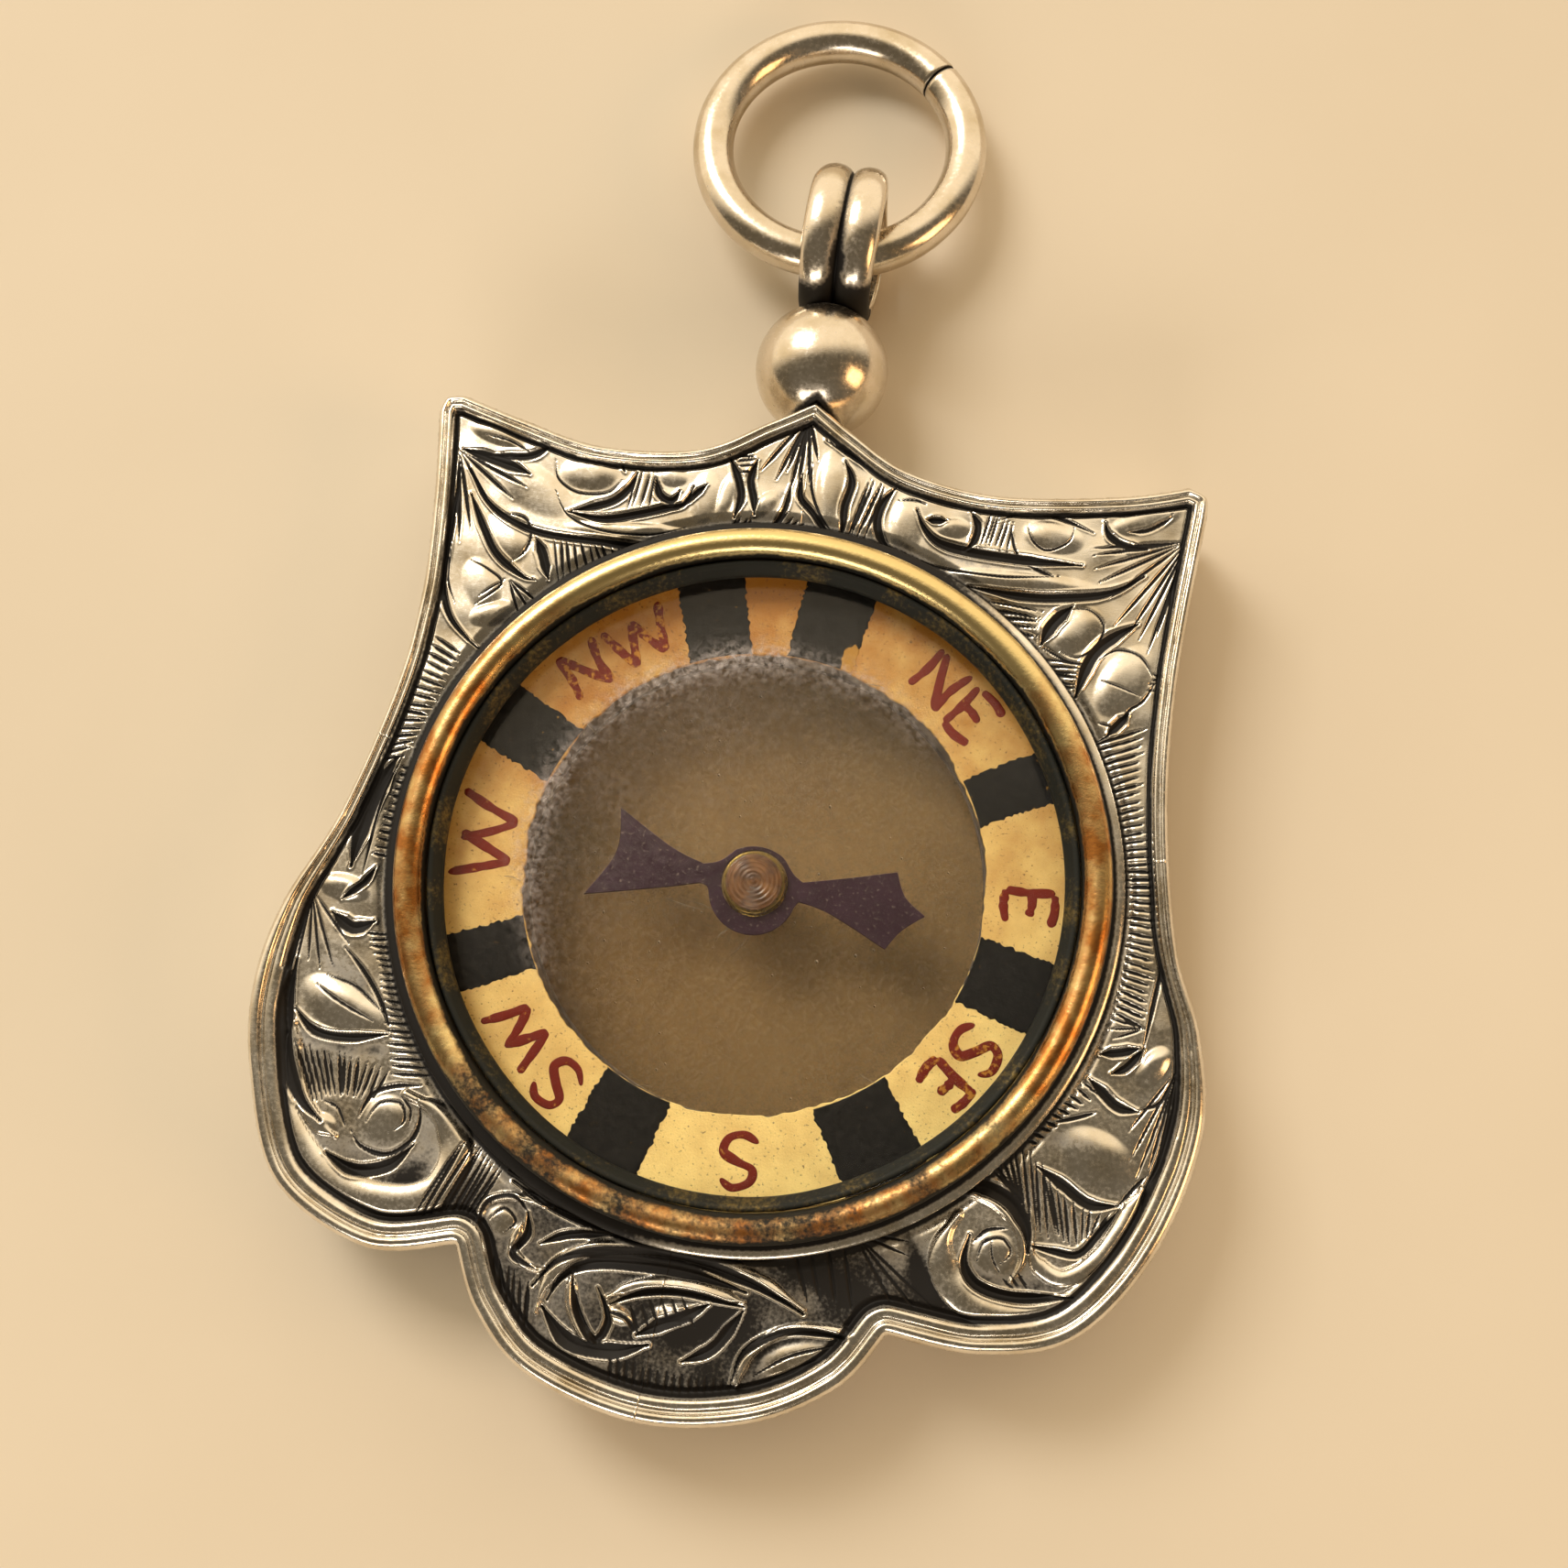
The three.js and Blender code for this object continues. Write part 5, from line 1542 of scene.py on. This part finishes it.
ring_pivot = np.array(swing["pos_m"]) / MM - PIVOT
jump_ring(ring_pivot)
print("ring swings about", ring_pivot.round(2))

# %% [markdown]
# The needle is cut from thin blued steel: a spearhead, a round hub and a swallow tail. Its flat
# shape is drawn as curves, filled, given its thickness, and then every edge is broken by a
# small bevel, which catches the light as a lilac line.

# %% Needle
HUB_R = 1.34
HUB_SHIFT = -0.22
CAP_R = 0.95
NEEDLE_TURN = math.radians(-1.5)
needle_low, needle_high = heights("compass_needle")


def arc(centre, radius_, start, end, count=24):
    """Part of a circle, angles in degrees."""
    a = np.radians(np.linspace(start, end, count))
    return np.stack([centre[0] + radius_ * np.cos(a), centre[1] + radius_ * np.sin(a)], -1)


def needle_outline():
    """Head, upper waist, hub, upper tail edge, notch, lower tail edge, hub, lower waist."""
    hub = (0, HUB_SHIFT)
    runs = [
        through([(1.42, -0.3), (2.4, -0.48), (4.2, -1.2)], 8),
        through([(4.2, -1.2), (4.6, -0.55), (5.2, 0)], 8),
        through([(5.2, 0), (4.52, 0.45), (4.15, 1.15)], 8),
        through([(4.15, 1.15), (2.7, 0.68), (1.42, 0.3)], 8),
        through([(1.42, 0.3), (1.1, 0.5), (0.75, 0.9)], 5),
        arc(hub, HUB_R, 58, 122),
        through([(-0.75, 0.9), (-1.15, 0.48), (-1.62, 0.3)], 5),
        through([(-1.62, 0.3), (-2.7, 0.62), (-4.45, 1.5)], 8),
        through([(-4.45, 1.5), (-4.3, 0.15), (-5.0, -1.3)], 10),
        through([(-5.0, -1.3), (-2.95, -0.72), (-1.62, -0.3)], 8),
        through([(-1.62, -0.3), (-1.4, -0.35), (-1.3, -0.52)], 4),
        arc(hub, HUB_R, 193, 347),
        through([(1.3, -0.52), (1.36, -0.38), (1.42, -0.3)], 4),
    ]
    return np.vstack([run[:-1] for run in runs])


def needle():
    """Two edge loops, the outline and the hole, filled flat and then thickened."""
    edge = needle_outline()
    hole = arc((0, 0), CAP_R + 0.05, 360, 7.5, 48)
    flat = np.vstack([edge, hole])
    turn = np.array([[math.cos(NEEDLE_TURN), math.sin(NEEDLE_TURN)],
                     [-math.sin(NEEDLE_TURN), math.cos(NEEDLE_TURN)]])
    flat = flat @ turn
    # The blade was sprung a hair out of true when its cap was pressed in.
    lift = 0.02 * (flat[:, 0] / 5) ** 2
    mesh = bpy.data.meshes.new("compass_needle_blade")
    count, size = len(edge), len(hole)
    loops = [(k, (k + 1) % count) for k in range(count)]
    loops += [(count + k, count + (k + 1) % size) for k in range(size)]
    points = np.column_stack([flat, needle_low + 0.01 + lift])
    mesh.from_pydata(((points + PIVOT) * MM).tolist(), loops, [])
    shape = bmesh.new()
    shape.from_mesh(mesh)
    bmesh.ops.triangle_fill(shape, edges=shape.edges[:], use_beauty=True, normal=(0, 0, 1))
    bmesh.ops.recalc_face_normals(shape, faces=shape.faces[:])
    if sum(face.normal.z for face in shape.faces) < 0:
        bmesh.ops.reverse_faces(shape, faces=shape.faces[:])
    shape.to_mesh(mesh)
    shape.free()
    mesh.materials.append(blued_steel)
    piece = bpy.data.objects.new("compass_needle_blade", mesh)
    bpy.context.scene.collection.objects.link(piece)
    thick = piece.modifiers.new("thickness", "SOLIDIFY")
    thick.thickness = (needle_high - needle_low - 0.03) * MM
    thick.offset = 1
    broken = piece.modifiers.new("broken edges", "BEVEL")
    broken.width = 0.03 * MM
    broken.segments = 2
    broken.limit_method = "ANGLE"
    broken.angle_limit = math.radians(50)
    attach(piece, "needle")
    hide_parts("compass_needle")
    print("needle outline points:", count)


needle()

# %% [markdown]
# A brass cap is pressed into the hub and holds an agate cup, whose domed back shows the fine
# rings of its turning. Below it a ground steel pin stands on a small brass foot.

# %% Cap, jewel, pin and foot
cap_low, cap_high = heights("needle_cap")
cap_profile = eased([(0.55, cap_low), (0.75, cap_low), (CAP_R, needle_low + 0.02),
                     (CAP_R, cap_high), (0.55, cap_high)], 0.06)
turned("needle_cap_ring", spaced(cap_profile, 0.05), dark_brass, "gilt_brass", "needle",
       ["needle_cap"], steps=96, paint=lambda p: {"oxide": 0.35 + 0 * p[:, 0]})

jewel_top = heights("cap_jewel")[1]
JEWEL_R = 0.84
dome_low = cap_high + 0.05
dome_r = np.linspace(JEWEL_R, 0.0, 60)
dome_z = dome_low + 0.06 + (jewel_top - dome_low - 0.14) * (1 - (dome_r / JEWEL_R) ** 2)
# Six fine rings of the turning, and a small nipple in the middle.
dome_z += 0.018 * np.sin(dome_r / JEWEL_R * 6 * 2 * np.pi) * bump_step(dome_r, 0.0, 0.12)
dome_z += 0.08 * bump_step(dome_r, 0.16, 0.05)
jewel_profile = np.vstack([[(0, 2.5), (0.28, 2.08), (0.5, 2.08), (0.5, dome_low),
                            (JEWEL_R, dome_low)], np.stack([dome_r, dome_z], -1)])
turned("cap_jewel_dome", jewel_profile, agate, "agate", "needle", ["cap_jewel"], steps=96)

pin_low, pin_top = heights("pivot_pin")
pin_profile = np.array([(0, pin_low), (0.12, pin_low), (0.16, pin_low + 0.04),
                        (0.16, pin_top - 0.4), (0.09, pin_top - 0.16), (0.02, pin_top - 0.01),
                        (0, pin_top)])
turned("pivot_pin_point", pin_profile, pin_steel, "steel", nodes=["pivot_pin"], steps=48)

foot_low, foot_top = heights("pivot_foot")
foot_profile = np.vstack([[(0, foot_low)],
                          eased([(0.2, foot_low), (1.0, foot_low), (0.92, foot_top - 0.08),
                                 (0.45, foot_top), (0.2, foot_top)], 0.06, closed=False),
                          [(0, foot_top)]])
turned("pivot_foot_disc", spaced(foot_profile, 0.1, closed=False), dark_brass, "gilt_brass",
       nodes=["pivot_foot"], steps=96, paint=lambda p: {"oxide": 0.3 + 0 * p[:, 0]})

# %% [markdown]
# A century of lint has crept inside. A few hair-fine fibres cling to the pivot's foot and to the
# card's edge, and specks of dust lie on the inside of the rear glass. Fibres are thin tubes
# carried along curves, with all their points from one seeded draw.

# %% Lint and specks
def tube(path, width, sides=6):
    """Round section carried along a path: place + w (cos b side + sin b up)."""
    along = np.gradient(path, axis=0)
    along /= np.linalg.norm(along, axis=1, keepdims=True)
    side = np.cross(along, [0, 0, 1.0])
    side /= np.linalg.norm(side, axis=1, keepdims=True)
    up = np.cross(side, along)
    b = np.arange(sides) / sides * 2 * np.pi
    taper = width / 2 * np.sin(np.linspace(0.3, np.pi - 0.3, len(path))) ** 0.4
    ring = side[:, None] * np.cos(b)[:, None] + up[:, None] * np.sin(b)[:, None]
    points = path[:, None] + taper[:, None, None] * ring
    return points.reshape(-1, 3), quads(len(path), sides, wrap_columns=True)


FIBRE_POINTS = 16
FIBRE_SIDES = 6
LINT_R = 6.95


def lint(place, length, height, hand):
    """A fibre: a straight run of `length` bent by two slow waves and lifted in the middle."""
    t = np.linspace(0, 1, FIBRE_POINTS)
    heading, phase, curl = hand.uniform(0, 2 * np.pi), hand.uniform(0, 6), hand.uniform(0.1, 0.35)
    sway = curl * length * np.sin(2.2 * t + phase)
    x = place[0] + length * t * math.cos(heading) - sway * math.sin(heading)
    y = place[1] + length * t * math.sin(heading) + sway * math.cos(heading)
    return np.stack([x, y, height + 0.06 * np.sin(np.pi * t)], -1)


hand = np.random.default_rng(5)
foot_lint = [tube(lint(hand.normal((-0.2, -0.9), (0.6, 0.25)), hand.uniform(0.5, 1.5),
                       foot_top + hand.uniform(0.02, 0.3), hand), 0.022) for _ in range(14)]
card_lint = []
for _ in range(7):
    where = hand.uniform(0, 2 * np.pi)
    spot = (LINT_R * math.cos(where), LINT_R * math.sin(where))
    card_lint.append(tube(lint(spot, hand.uniform(0.4, 0.9), card_top + 0.03, hand), 0.02))
fibres, fibre_faces = joined(foot_lint + card_lint)
ends = [number + np.arange(FIBRE_SIDES)
        for start in range(0, len(fibres), FIBRE_POINTS * FIBRE_SIDES)
        for number in (start, start + (FIBRE_POINTS - 1) * FIBRE_SIDES)]
ends = [end[::-1] if k % 2 == 0 else end for k, end in enumerate(ends)]
make_piece("lint_fibres", fibres, fibre_faces, dust, "pulp_board", "case", (), ends)


def specks(count, height, widest, seed):
    """Tiny closed grains: an octahedron squashed flat, scaled and turned by a seeded draw."""
    draw = np.random.default_rng(seed)
    corner = np.array([[1, 0, 0], [0, 1, 0], [-1, 0, 0], [0, -1, 0], [0, 0, 0.4], [0, 0, -0.4]])
    sides = np.array([[0, 1, 4], [1, 2, 4], [2, 3, 4], [3, 0, 4],
                      [1, 0, 5], [2, 1, 5], [3, 2, 5], [0, 3, 5]])
    r, turn = 6.6 * np.sqrt(draw.uniform(0, 1, count)), draw.uniform(0, 2 * np.pi, count)
    size = widest * draw.uniform(0.25, 1, count) ** 2
    stretch = draw.uniform(0.5, 1.4, (count, 1, 3)) * [1, 1, 0.6]
    points = corner[None] * stretch * size[:, None, None]
    place = np.stack([r * np.cos(turn), r * np.sin(turn), height + size * 0.25], -1)
    points = points + place[:, None]
    faces = sides[None] + 6 * np.arange(count)[:, None, None]
    return points.reshape(-1, 3), faces.reshape(-1, 3)


make_piece("dust_specks", *specks(260, pane_high + 0.01, 0.05, 8), dust, "pulp_board", "case")

# %% [markdown]
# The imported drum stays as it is, because almost all of it is hidden in the collar; it only
# needs its tarnished brass.

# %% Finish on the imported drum
drum = frame["nodes"]["capsule_drum"]
drum.data.materials.clear()
drum.data.materials.append(dark_brass)
print("drum wears", dark_brass.name)

# %% [markdown]
# A plain pale table and soft lights. Silver shows whatever is round it, so the room matters as
# much as the lamps: a big soft window to the upper left, a warm card on the right, a weak one
# below, and a dim pale room. The camera itself sees a plain wall where it looks past the table.

# %% Table and lights
def table():
    """Flat square under the fob."""
    reach = 600.0
    corner = np.array([[-1, -1], [1, -1], [1, 1], [-1, 1]]) * reach
    mesh = bpy.data.meshes.new("table")
    mesh.from_pydata([(x * MM, y * MM, 0.0) for x, y in corner], [], [(0, 1, 2, 3)])
    finish = Finish("pale_table")
    cloud = finish.noise(object_place(finish), 60.0, 8.0)
    tone = finish.mix(cloud, "#dccfb9", "#e6dac6")
    finish.wear(Base_Color=tone, Roughness=0.85)
    mesh.materials.append(finish.material)
    made = bpy.data.objects.new("table", mesh)
    bpy.context.scene.collection.objects.link(made)


def softbox(name, place, size, watts, colour, target=(0, 0, 3)):
    """Rectangular area light aimed at the fob."""
    light = bpy.data.lights.new(name, "AREA")
    light.shape = "RECTANGLE"
    light.size, light.size_y = size[0] * MM, size[1] * MM
    light.energy = watts
    light.color = linear(colour)[:3]
    aimed(name, light, np.array(place, float), np.array(target, float))


table()
softbox("window", (-190, 190, 260), (165, 125), 0.66, "#fffaf2")
softbox("warm_card", (280, -40, 120), (160, 120), 0.25, "#ffc98a")
softbox("low_card", (-30, -260, 120), (220, 70), 0.3, "#fff2e0")

bpy.context.scene.view_settings.view_transform = "Standard"
room = bpy.data.worlds.new("room")
bpy.context.scene.world = room
room.use_nodes = True
air = Nodes(room.node_tree)
where = air.add("ShaderNodeTexCoord")
toward = air.add("ShaderNodeVectorMath", out=1, settings={"operation": "DOT_PRODUCT"},
                 i0=where, i1=(-0.3, 0.95, 0.0))
glow = air.remap(toward, 0.04, 0.42, 0.16, 1.45, soft=True)
sky = room.node_tree.nodes["Background"]
air.set(sky, {"Color": "#f5e1bf", "Strength": glow})
# The bright room reflects in the silver, but behind the table only a plain pale wall is seen.
wall = air.add("ShaderNodeBackground", Color="#e2d3b8")
seen = air.add("ShaderNodeLightPath")
either = air.either(seen, sky.outputs[0], wall)
air.set(room.node_tree.nodes["World Output"], {"Surface": either})
print("lights:", sorted(light.name for light in bpy.data.lights))
